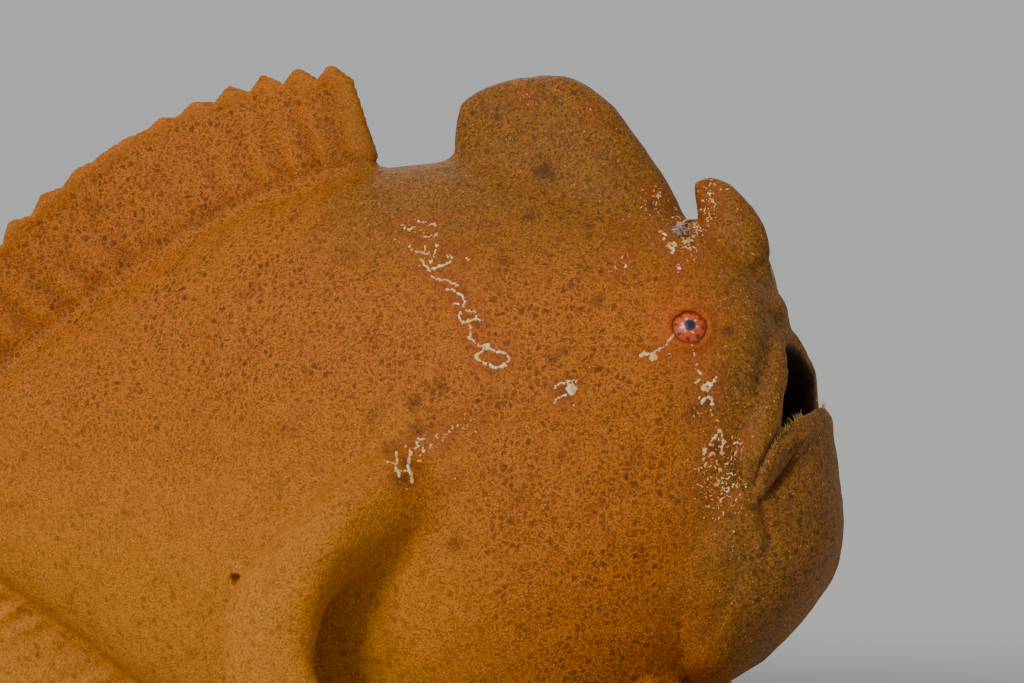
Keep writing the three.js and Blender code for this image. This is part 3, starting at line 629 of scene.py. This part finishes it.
# Painted shade inside the mouth: the points in it that face its middle get a near-black colour.
in_mouth = 1 - smooth_step(0.82, 1.04, np.linalg.norm((points - MOUTH_MIDDLE) / MOUTH_RADII, axis=1))
inside = in_mouth * smooth_step(-0.05, 0.3, (facing * toward(points, MOUTH_MIDDLE)).sum(axis=1))
ray = 0.5 + 0.5 * standing / MOST_STANDING
print(int((inside > 0.5).sum()), "points lie in the mouth")


def store(name, values):
    attribute = skin.data.attributes.new(name, "FLOAT", "POINT")
    attribute.data.foreach_set("value", np.asarray(values, dtype=np.float32))


for name, values in {
    "ruddy": ruddy, "round_eye": round_eye, "olive": olive, "yellow": yellow, "dark_spots_and_shade": dark_spots_and_shade,
    "inside": inside, "crease_red_shade": crease_red_shade, "ray": ray,
}.items():
    store(name, values)

# %% [markdown]
# ## The skin's finish
#
# Seen close, the flank is a net of orange lines round soft dark spots less than two millimetres
# apart. On the hump and the face the grain is finer and more olive, with larger spots strewn over
# it, and low at the rear the skin is smoother and yellower. Voronoi textures draw spots like these
# from the distance to the nearest of many scattered points. Their edges are bent by noise first,
# so that no two are alike.


# %% short ways to add and join shader nodes
class Shader:
    def __init__(self, name):
        self.material = bpy.data.materials.new(name)
        self.material.use_nodes = True
        self.nodes = self.material.node_tree.nodes
        self.links = self.material.node_tree.links
        self.surface = self.nodes["Principled BSDF"]

    def add(self, kind, inputs=None, **settings):
        made = self.nodes.new(kind)
        for key, value in settings.items():
            setattr(made, key, value)
        for key, value in (inputs or {}).items():
            self.put(made.inputs[key], value)
        return made

    def put(self, socket, value):
        if isinstance(value, bpy.types.NodeSocket):
            self.links.new(value, socket)
        else:
            socket.default_value = value

    def set(self, **values):
        for name, value in values.items():
            self.put(self.surface.inputs[name.replace("_", " ")], value)

    def maths(self, operation, first, second=0.0):
        return self.add("ShaderNodeMath", {0: first, 1: second}, operation=operation).outputs[0]

    def times(self, first, second):
        return self.maths("MULTIPLY", first, second)

    def plus(self, first, second):
        return self.maths("ADD", first, second)

    def fade(self, value, low, high, to_low=0.0, to_high=1.0):
        limits = {"Value": value, "From Min": low, "From Max": high, "To Min": to_low, "To Max": to_high}
        return self.add("ShaderNodeMapRange", limits, interpolation_type="SMOOTHSTEP").outputs["Result"]

    def between(self, share, first, second):
        made = self.add("ShaderNodeMix", {0: share, 2: first, 3: second}, data_type="FLOAT")
        return made.outputs[0]

    def colours(self, share, first, second):
        made = self.add("ShaderNodeMix", {0: share, 6: first, 7: second}, data_type="RGBA")
        return made.outputs[2]

    def place(self):
        return self.add("ShaderNodeTexCoord").outputs["Object"]

    def number(self, name):
        return self.add("ShaderNodeAttribute", attribute_name=name).outputs["Fac"]

    def noise(self, place, scale, detail=2.0, roughness=0.5, output="Fac"):
        settings = {"Vector": place, "Scale": scale, "Detail": detail, "Roughness": roughness}
        return self.add("ShaderNodeTexNoise", settings).outputs[output]

    def bend(self, place, scale, reach):
        drift = self.noise(place, scale, output="Color")
        centred = self.add("ShaderNodeVectorMath", {0: drift, 1: (0.5, 0.5, 0.5)}, operation="SUBTRACT")
        shift = self.add("ShaderNodeVectorMath", {0: centred.outputs[0], "Scale": reach}, operation="SCALE")
        return self.add("ShaderNodeVectorMath", {0: place, 1: shift.outputs[0]}, operation="ADD").outputs[0]

    def spots(self, place, scale, low, high, faintest=0.4, share=1.0):
        cells = self.add("ShaderNodeTexVoronoi", {"Vector": place, "Scale": scale})
        chance = self.add("ShaderNodeSeparateColor", {0: cells.outputs["Color"]}).outputs
        shape = self.fade(cells.outputs["Distance"], low, high, 1.0, 0.0)
        depth = self.fade(chance[0], 0.0, 1.0, faintest, 1.0)
        chosen = self.fade(chance[1], share - 0.02, share + 0.02, 1.0, 0.0)
        return self.times(shape, self.times(depth, chosen))

    def net(self, place, scale, low, high, faintest):
        cells = self.add("ShaderNodeTexVoronoi", {"Vector": place, "Scale": scale})
        edges = self.add("ShaderNodeTexVoronoi", {"Vector": place, "Scale": scale},
                         feature="DISTANCE_TO_EDGE")
        chance = self.add("ShaderNodeSeparateColor", {0: cells.outputs["Color"]}).outputs[0]
        filled = self.fade(edges.outputs["Distance"], low, high)
        heart = self.fade(cells.outputs["Distance"], 0.25, 0.75, 1.0, 0.7)
        return self.times(self.times(filled, heart), self.fade(chance, 0.0, 1.0, faintest, 1.0))


# %% the skin's colours and patterns
# How many cells or waves each pattern has to a metre.
NET = 520.0
GRANULES = 1050.0
LARGE_SPOTS = 390.0
SOFT_SPOTS = 400.0
GRAIN = 1900.0
SMUDGE = 130.0
PATCH = 42.0
GLINTS = 800.0
FACE_GLINTS = 700.0
PRICKLES = 1500.0

NET_ORANGE = (0.52, 0.145, 0.0070, 1)
NET_BROWN = (0.112, 0.031, 0.0028, 1)
OLIVE_LIGHT = (0.320, 0.120, 0.0110, 1)
OLIVE_DARK = (0.068, 0.028, 0.0035, 1)
YELLOW_LIGHT = (0.62, 0.225, 0.0120, 1)
YELLOW_DARK = (0.260, 0.088, 0.0060, 1)
SPOT_AND_SHADE_DARK = (0.045, 0.013, 0.0030, 1)
MARK_RED = (0.290, 0.052, 0.0060, 1)
EYE_RED = (0.55, 0.080, 0.0070, 1)
MOUTH_SHADE = (0.030, 0.011, 0.0050, 1)
CREASE_RED_SHADE = (0.100, 0.014, 0.0040, 1)
PAINTED_GLINT = (0.85, 0.54, 0.20, 1)


def skin_finish():
    shader = Shader("frogfish_skin")
    place = shader.place()
    bent = shader.bend(place, 140.0, 0.0030)
    bent = shader.bend(bent, 800.0, 0.0011)
    olive = shader.number("olive")
    yellow = shader.number("yellow")
    grain = shader.noise(place, GRAIN, 3.0, 0.7)
    smudge = shader.noise(place, SMUDGE, 4.0, 0.6)
    patch = shader.noise(place, PATCH, 4.0, 0.6)

    netted = shader.net(bent, NET, 0.02, 0.30, 0.4)
    netted = shader.times(netted, shader.fade(shader.noise(place, 330.0), 0.35, 0.6, 0.75, 1.0))
    granular = shader.spots(bent, GRANULES, 0.3, 0.75, 0.3)
    strewn = shader.spots(bent, LARGE_SPOTS, 0.2, 0.5, 0.5, 0.6)
    granular = shader.maths("MAXIMUM", shader.times(granular, 0.8), strewn)
    soft_spots = shader.spots(bent, SOFT_SPOTS, 0.15, 0.55, 0.3)
    soft_spots = shader.maths("MAXIMUM", shader.times(granular, 0.5), soft_spots)
    spotted = shader.between(olive, netted, granular)
    spotted = shader.between(yellow, spotted, soft_spots)
    spotted = shader.times(spotted, shader.fade(patch, 0.3, 0.7, 0.7, 1.0))

    light = shader.colours(olive, NET_ORANGE, OLIVE_LIGHT)
    light = shader.colours(yellow, light, YELLOW_LIGHT)
    low = shader.colours(olive, NET_BROWN, OLIVE_DARK)
    low = shader.colours(yellow, low, YELLOW_DARK)
    body = shader.colours(spotted, light, low)
    body = shader.colours(shader.fade(smudge, 0.52, 0.72, 0.0, 0.3), body, low)
    body = shader.colours(shader.fade(grain, 0.54, 0.36, 0.0, 0.9), body, low)
    body = shader.colours(shader.fade(grain, 0.54, 0.72, 0.0, 0.5), body, light)
    body = shader.colours(shader.fade(shader.number("ray"), 0.50, 0.25, 0.0, 0.22), body, low)
    body = shader.colours(shader.fade(shader.number("ray"), 0.55, 0.85, 0.0, 0.40), body, light)

    red_share = shader.times(shader.number("ruddy"), shader.fade(smudge, 0.35, 0.65, 0.2, 0.65))
    body = shader.colours(red_share, body, MARK_RED)
    eye_share = shader.times(shader.number("round_eye"), shader.fade(grain, 0.3, 0.7, 0.55, 0.9))
    body = shader.colours(eye_share, body, EYE_RED)
    # Dark spots, partly painted shade below the arm's root and ahead of the eye.
    spot_and_shade_share = shader.times(shader.number("dark_spots_and_shade"), shader.fade(smudge, 0.3, 0.6, 0.45, 0.85))
    body = shader.colours(spot_and_shade_share, body, SPOT_AND_SHADE_DARK)

    # Glints of the spinules: sparse pale-gold dots painted into the colour as painted highlights; the same
    # dots are raised in the bump and glossier.
    glint = shader.spots(place, GLINTS, 0.08, 0.20, 0.3, 0.22)
    face_glint = shader.spots(place, FACE_GLINTS, 0.08, 0.22, 0.3, 0.40)
    glint = shader.maths("MAXIMUM", glint, shader.times(face_glint, olive))
    body = shader.colours(shader.times(glint, 0.75), body, PAINTED_GLINT)
    # Dark red painted shade in the creases, strongest where they are deepest.
    body = shader.colours(shader.fade(shader.number("crease_red_shade"), 0.35, 0.95, 0.0, 0.8), body, CREASE_RED_SHADE)
    # Painted shade inside the mouth.
    body = shader.colours(shader.number("inside"), body, MOUTH_SHADE)

    prickles = shader.add("ShaderNodeTexVoronoi", {"Vector": place, "Scale": PRICKLES}).outputs["Distance"]
    relief = shader.plus(shader.times(grain, 0.6), shader.times(spotted, -0.25))
    relief = shader.plus(relief, shader.times(glint, 0.6))
    relief = shader.plus(relief, shader.times(prickles, -0.5))
    bump = shader.add("ShaderNodeBump", {"Height": relief, "Strength": 0.75, "Distance": 0.00035})
    shader.set(Base_Color=body, Normal=bump.outputs["Normal"])
    shader.set(Roughness=shader.fade(glint, 0.0, 1.0, 0.66, 0.3), Specular_IOR_Level=0.22)
    shader.set(Subsurface_Weight=0.08, Subsurface_Radius=(1.0, 0.4, 0.1), Subsurface_Scale=0.0012)
    return shader.material


def dress(piece, material, slot, *nodes):
    piece.data.materials.clear()
    piece.data.materials.append(material)
    piece.data.shade_smooth()
    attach(piece, "root")
    if nodes:
        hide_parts(*nodes)
    print(piece.name, "has", sum(len(p.vertices) - 2 for p in piece.data.polygons), "triangles")


# %% thin the skin out where it is plain, and dress it
MOST_TRIANGLES = 190000
skin.data.calc_loop_triangles()
triangles = len(skin.data.loop_triangles)
if triangles > MOST_TRIANGLES:
    thin = skin.modifiers.new("thin", "DECIMATE")
    thin.ratio = MOST_TRIANGLES / triangles
    apply_modifiers(skin)
dress(skin, skin_finish(), "skin", *FLESH)
tree = skin_tree()

# %% [markdown]
# ## The pale crust
#
# The marks are a thin, lacy crust of cream grains, raised a little from the skin. Each grain is a
# small ball pressed flat, dropped near its route by a seeded draw and laid against the skin. A fine
# voxel remesh melts grains that touch into one crust with ragged edges and small holes.

# %% drop the grains
CRUST_VOXEL = 0.16 * MM
WANDER = 0.75  # of a picture's pixel, which is about a quarter of a millimetre
PIXEL = 0.267
FAR_SIDE_SHARE = 0.8
FAR_SIDE_SHIFT = 0.5 * MM
BESIDE = 0.2  # metres to the left, clear of the fish
STREWN_SIZE = (0.13, 0.25)  # millimetres
STREWN_STEP = 1.2  # of a picture's pixel, between the grains of one stroke
draw = random.Random(11)


def lay_grain(made, place, normal, size):
    flat = Matrix.Diagonal((1, draw.uniform(0.7, 1.3), 0.6, 1))
    turn = normal.to_track_quat("Z", "Y").to_matrix().to_4x4()
    spin = Matrix.Rotation(draw.uniform(0, math.tau), 4, "Z")
    bmesh.ops.create_icosphere(made, subdivisions=1, radius=size,
                               matrix=Matrix.Translation(place) @ turn @ spin @ flat)


def along_route(route, per_mm):
    for a, b in zip(route, route[1:]):
        for _ in range(max(1, round(math.dist(a, b) * PIXEL * per_mm))):
            share = draw.random()
            yield a[0] + (b[0] - a[0]) * share, a[1] + (b[1] - a[1]) * share


def lay_both_sides(made, across, down, size):
    place, normal = seen_at(across, down)
    if place is None:
        return 0
    lay_grain(made, place, normal, size)
    shift = (draw.gauss(0, FAR_SIDE_SHIFT), draw.gauss(0, FAR_SIDE_SHIFT))
    far = Vector((place.x + shift[0], BESIDE, place.z + shift[1]))
    other, other_normal, _, _ = tree.ray_cast(far, Vector((0, -1, 0)))
    if other is None or draw.random() > FAR_SIDE_SHARE:
        return 1
    lay_grain(made, other, other_normal, size)
    return 2


crust_bm = bmesh.new()
grains = 0
for size, per_mm, route in MARKS:
    batch = bmesh.new()
    for across, down in along_route(route, per_mm):
        spot = (across + draw.gauss(0, WANDER), down + draw.gauss(0, WANDER))
        grains += lay_both_sides(batch, *spot, size * MM * draw.uniform(0.5, 1.45))
    pour(batch, crust_bm)
for middle, half_size, count in STREWN:
    batch = bmesh.new()
    for _ in range(count):
        across, down = [c + draw.gauss(0, 0.5) * h for c, h in zip(middle, half_size)]
        lean = draw.uniform(0, math.tau)
        size = MM * draw.uniform(*STREWN_SIZE)
        for k in range(draw.randint(1, 3)):
            along = STREWN_STEP * k
            spot = (across + along * math.cos(lean), down + along * math.sin(lean))
            grains += lay_both_sides(batch, *spot, size)
    pour(batch, crust_bm)
crust = as_object("pale_crust", crust_bm)
melt(crust, CRUST_VOXEL)
print(grains, "grains in the crust")


# %% the crust's finish
def crust_finish():
    shader = Shader("pale_crust")
    place = shader.place()
    body = shader.colours(shader.fade(shader.noise(place, 620.0, 3.0), 0.40, 0.62),
                          (0.78, 0.53, 0.19, 1), (0.66, 0.29, 0.10, 1))
    # Pale patches scattered by noise are painted highlights on the crust's grains.
    painted_highlight = shader.fade(shader.noise(place, 230.0, 2.0), 0.50, 0.66)
    body = shader.colours(painted_highlight, body, (0.86, 0.74, 0.47, 1))
    pits = shader.noise(place, 2600.0, 3.0)
    bump = shader.add("ShaderNodeBump", {"Height": pits, "Strength": 0.6, "Distance": 0.00015})
    shader.set(Base_Color=body, Normal=bump.outputs["Normal"], Roughness=0.5)
    return shader.material


dress(crust, crust_finish(), "skin")

# %% [markdown]
# ## The eyes
#
# The eye is small for so big a fish. A blue-black pupil sits in an orange-red iris that carries
# pale flecks close round the pupil and dark spots round its rim. The ball is a sphere turned to
# look straight out of its socket, and the pattern is drawn from how far a point lies from the
# pupil and in which direction, both stored on the ball.

# %% an eyeball
EYE_RADIUS = 6.4 * MM
PUPIL = 1.45  # its radius in millimetres, and the iris's
IRIS = 3.8
BULGE = 0.25 * MM
SKIN_ROUND_EYE = (8.5 * MM, 13 * MM)


def outward_of(centre):
    places = read_points(skin.data)
    normals = read_points(skin.data, "normal")
    away = np.linalg.norm(places - np.array(centre), axis=1)
    nearest, furthest = SKIN_ROUND_EYE
    ring = (away > nearest) & (away < furthest) & (np.sign(places[:, 1]) == np.sign(centre.y))
    return Vector(normals[ring].mean(axis=0)).normalized()


def eyeball(name, node):
    low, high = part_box(node)
    centre = (low + high) / 2
    made = bmesh.new()
    turn = outward_of(centre).to_track_quat("Z", "Y").to_matrix().to_4x4()
    bmesh.ops.create_uvsphere(made, u_segments=96, v_segments=72, radius=EYE_RADIUS)
    for vertex in made.verts:
        flat = math.hypot(vertex.co.x, vertex.co.y)
        if vertex.co.z > 0 and flat < IRIS * MM:
            vertex.co.z += BULGE * math.cos(flat / (IRIS * MM) * math.pi / 2)
    disc = [vertex.co / MM for vertex in made.verts]
    bmesh.ops.transform(made, matrix=Matrix.Translation(centre) @ turn, verts=made.verts)
    ball = as_object(name, made)
    attribute = ball.data.attributes.new("disc", "FLOAT_VECTOR", "POINT")
    attribute.data.foreach_set("vector", np.array(disc, dtype=np.float32).ravel())
    return ball


def eye_finish():
    shader = Shader("frogfish_eye")
    disc = shader.add("ShaderNodeAttribute", attribute_name="disc").outputs["Vector"]
    across, down, _ = shader.add("ShaderNodeSeparateXYZ", {0: disc}).outputs
    square = shader.plus(shader.times(across, across), shader.times(down, down))
    radius = shader.maths("SQRT", square)
    angle = shader.maths("ARCTAN2", down, across)
    wobble = shader.times(shader.noise(disc, 1.1, 3.0), 5.0)

    def spokes(number, low, high):
        wave = shader.maths("SINE", shader.plus(shader.times(angle, number), wobble))
        return shader.fade(wave, low, high)

    def band(start, full, end, gone):
        return shader.times(shader.fade(radius, start, full), shader.fade(radius, end, gone, 1.0, 0.0))

    iris = shader.colours(shader.fade(shader.noise(disc, 2.2, 4.0), 0.35, 0.65),
                          (0.48, 0.026, 0.002, 1), (0.72, 0.110, 0.006, 1))
    rim_spots = shader.times(spokes(8.0, 0.0, 0.7), shader.fade(radius, 2.4, 3.4, 0.0, 0.9))
    iris = shader.colours(rim_spots, iris, (0.10, 0.012, 0.004, 1))
    flecks = shader.times(band(1.5, 1.75, 2.0, 2.5), spokes(6.0, 0.45, 0.85))
    iris = shader.colours(shader.times(flecks, 0.8), iris, (0.90, 0.50, 0.20, 1))
    pupil = shader.colours(shader.fade(radius, 0.5, PUPIL),
                           (0.003, 0.003, 0.007, 1), (0.030, 0.020, 0.060, 1))
    body = shader.colours(shader.fade(radius, PUPIL - 0.1, PUPIL + 0.12), pupil, iris)
    body = shader.colours(shader.fade(radius, IRIS - 0.3, IRIS + 0.3), body, (0.30, 0.050, 0.005, 1))
    shader.set(Base_Color=body, Roughness=0.4, Coat_Weight=0.35, Coat_Roughness=0.05)
    return shader.material


eye_material = eye_finish()
for side in ("right", "left"):
    dress(eyeball(f"eyeball_{side}", f"eye_{side}"), eye_material, "eye", f"eye_{side}")

# %% [markdown]
# ## The lip's fringe, the rod and the lure
#
# Along the lower lip stand soft skin filaments, and the lure is a tuft of the same stuff at the end
# of a thin rod, which lies folded back along the second spine. All of them are tubes: a ring of a
# few points, pulled out step by step along a line, and turned and narrowed at each step.


# %% one tube along a line of places
def tube(made, places, radii, sides=6):
    headings = [b - a for a, b in zip(places, places[1:])]
    headings.append(headings[-1])
    turn = headings[0].to_track_quat("Z", "Y")
    before = Matrix.LocRotScale(places[0], turn, Vector((radii[0],) * 3))
    ring = bmesh.ops.create_circle(made, cap_ends=True, segments=sides, radius=1, matrix=before)["verts"]
    end = next(face for face in ring[0].link_faces if len(face.verts) == sides)
    for place, radius, old, new in zip(places[1:], radii[1:], headings, headings[1:]):
        turn = old.rotation_difference(new) @ turn
        after = Matrix.LocRotScale(place, turn, Vector((radius,) * 3))
        end = bmesh.ops.extrude_discrete_faces(made, faces=[end])["faces"][0]
        bmesh.ops.transform(made, matrix=after @ before.inverted(), verts=end.verts)
        before = after


def filament(made, root, way, length, radius, bend=0.3, rings=4):
    side = Matrix.Rotation(draw.uniform(0, math.tau), 3, way) @ way.orthogonal().normalized()
    places = [root]
    heading = way.copy()
    for ring in range(rings):
        heading = (heading + side * bend * (ring + 1) / rings).normalized()
        places.append(places[-1] + heading * length / rings)
    tube(made, places, [radius * (1 - ring / (rings + 0.6)) for ring in range(rings + 1)])


def close(made):
    bmesh.ops.holes_fill(made, edges=[edge for edge in made.edges if edge.is_boundary], sides=8)
    bmesh.ops.recalc_face_normals(made, faces=made.faces)
    return made


# %% the fringe of the lower lip
LIP_FRINGE = [
    (757, 482), (763, 464), (771, 447), (783, 432), (796, 420), (808, 409), (817, 403), (824, 406),
]
PER_STRETCH = 22
TUFT_REACH = 9  # of the picture's pixels
SUNK = 0.4 * MM  # the depth of a filament's root in the skin
TIP_TUFT = (816, 403)
jaw_tree = tree_of(["lower_jaw"])
fringe_bm = bmesh.new()
count = 0
for a, b in zip(LIP_FRINGE, LIP_FRINGE[1:]):
    for k in range(PER_STRETCH):
        share = (k + draw.uniform(0.1, 0.9)) / PER_STRETCH
        pixel = (a[0] + (b[0] - a[0]) * share, a[1] + (b[1] - a[1]) * share + 1 + draw.gauss(0, 1.0))
        place, normal = seen_at(*pixel)
        if place is None or jaw_tree.find_nearest(place, 1.5 * MM)[0] is None:
            continue
        tuft = math.exp(-((math.dist(pixel, TIP_TUFT) / TUFT_REACH) ** 2))
        stray = Vector((draw.gauss(-0.45, 0.3), draw.gauss(-0.2, 0.25), 0))
        way = (upwards + 0.35 * normal + (1 - tuft) * stray).normalized()
        length = (draw.uniform(1.0, 2.5) + tuft * draw.uniform(0.3, 1.4)) * MM
        for flip in (1, -1):
            spot = Vector((place.x, place.y * flip, place.z)) - way * SUNK
            filament(fringe_bm, spot, Vector((way.x, way.y * flip, way.z)), length + SUNK, 0.15 * MM)
            count += 1
fringe = as_object("lip_fringe", close(fringe_bm))
print(count, "filaments in the fringe")

# %% the rod: across, left and up from the middle of the picture in millimetres, and its radius
ROD = [
    (71.4, 2.6, 122.8, 1.3), (69.6, 5.6, 129.0, 0.85), (68.0, 6.2, 134.0, 0.65), (66.2, 6.2, 139.0, 0.55),
    (61.0, 6.0, 142.0, 0.5), (55.5, 4.9, 143.6, 0.45), (51.2, 3.4, 143.8, 0.42), (49.1, 0.0, 143.7, 0.4),
    (48.9, -4.5, 143.3, 0.38), (49.2, -8.5, 142.2, 0.36), (49.2, -11.5, 140.6, 0.35),
]


def rounded(stations, steps=5):
    rows = np.array(stations)
    rows = np.vstack([2 * rows[0] - rows[1], rows, 2 * rows[-1] - rows[-2]])
    curve = []
    for a, b, c, d in zip(rows, rows[1:], rows[2:], rows[3:]):
        for k in range(steps):
            t = k / steps
            bow = (c - a) * t + (2 * a - 5 * b + 4 * c - d) * t**2 + (3 * b - a - 3 * c + d) * t**3
            curve.append(b + 0.5 * bow)
    return np.array(curve + [rows[-2]])


rod_curve = rounded(ROD) * MM
rod_places = [Vector((picture_middle.x + x, y, z)) for x, y, z in rod_curve[:, :3]]
rod_bm = bmesh.new()
tube(rod_bm, rod_places, list(rod_curve[:, 3]), sides=8)
rod = as_object("rod", close(rod_bm))
print("the rod is", round(sum((b - a).length for a, b in zip(rod_places, rod_places[1:])) / MM), "mm long")

# %% the lure: a soft lump with filaments all over it
LURE_FILAMENTS = 46
LURE_RADIUS = 1.7 * MM
GOLDEN_ANGLE = math.pi * (3 - math.sqrt(5))  # spreads points evenly over a ball
lure_middle = rod_places[-1]
lure_bm = bmesh.new()
lure_place = Matrix.Translation(lure_middle)
bmesh.ops.create_icosphere(lure_bm, subdivisions=3, radius=LURE_RADIUS, matrix=lure_place)
for vertex in lure_bm.verts:
    way = (vertex.co - lure_middle).normalized()
    vertex.co += way * 0.5 * MM * noise.noise(way * 2.3) + Vector((0, 0, -0.25)) * (way.x ** 2) * MM
for i in range(LURE_FILAMENTS):
    height = 1 - 2 * (i + 0.5) / LURE_FILAMENTS
    turn = i * GOLDEN_ANGLE
    level = math.sqrt(1 - height**2)
    way = Vector((level * math.cos(turn), 0.8 * level * math.sin(turn) - 0.25, height - 0.25)).normalized()
    filament(lure_bm, lure_middle + way * 1.1 * MM, way, draw.uniform(1.0, 2.4) * MM, 0.2 * MM, 0.6)
lure = as_object("lure_tuft", close(lure_bm))


# %% dress them
def flesh_finish(name, base, tip, scale=600.0):
    shader = Shader(name)
    mottle = shader.noise(shader.place(), scale, 3.0)
    body = shader.colours(shader.fade(mottle, 0.42, 0.6), base, tip)
    shader.set(Base_Color=body, Roughness=0.5, Specular_IOR_Level=0.3)
    shader.set(Subsurface_Weight=0.25, Subsurface_Radius=(1.0, 0.6, 0.4), Subsurface_Scale=0.001)
    return shader.material


fringe_finish = flesh_finish("fringe_flesh", (0.46, 0.20, 0.025, 1), (0.56, 0.42, 0.10, 1))
rod_finish = flesh_finish("rod_flesh", (0.26, 0.12, 0.035, 1), (0.50, 0.31, 0.12, 1), 420.0)
lure_finish = flesh_finish("lure_flesh", (0.27, 0.14, 0.10, 1), (0.50, 0.36, 0.28, 1), 800.0)
dress(fringe, fringe_finish, "skin")
dress(rod, rod_finish, "lure", "fishing_rod")
dress(lure, lure_finish, "lure", "lure")

# %% [markdown]
# ## The floor and the light
#
# A pale floor and soft light show the form plainly. The main light comes from behind the camera and
# from its left, so that the snout turns away from it and darkens, as it does in the picture. Sun
# lamps are used, made soft by a wide angle, because they light the far floor as much as the near,
# and the floor's tone is chosen so that it runs on into the pale room without a line.

# %% floor and lamps
FLOOR_RADIUS = 12  # metres, so that its rim lies too far off to be seen
floor_bm = bmesh.new()
bmesh.ops.create_circle(floor_bm, cap_ends=True, segments=96, radius=FLOOR_RADIUS)
floor = as_object("floor", floor_bm)
floor_shader = Shader("floor_paper")
floor_shader.set(Base_Color=(0.495, 0.495, 0.485, 1), Roughness=1.0, Specular_IOR_Level=0.0)
floor.data.materials.append(floor_shader.material)
floor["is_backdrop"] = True


def lamp(name, toward_lamp, strength, softness, colour=(1, 1, 1)):
    data = bpy.data.lights.new(name, "SUN")
    data.energy = strength
    data.angle = math.radians(softness)
    data.color = colour
    made = bpy.data.objects.new(name, data)
    made.rotation_euler = Vector(toward_lamp).to_track_quat("Z", "Y").to_euler()
    bpy.context.scene.collection.objects.link(made)


lamp("main_light", (-0.3, -0.9, 0.55), 2.2, 20, (1, 0.97, 0.92))
lamp("far_light", (-0.35, 0.8, 0.8), 0.8, 40)
world = bpy.data.worlds.new("room")
world.use_nodes = True
world.node_tree.nodes["Background"].inputs["Color"].default_value = (0.86, 0.87, 0.88, 1)
world.node_tree.nodes["Background"].inputs["Strength"].default_value = 0.55
bpy.context.scene.world = world

# %% the size of the dressed fish
visual_low, visual_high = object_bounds()
growth = (visual_high - visual_low) - (cad_high - cad_low)
print("grown by", [round(side / MM, 1) for side in growth], "mm")
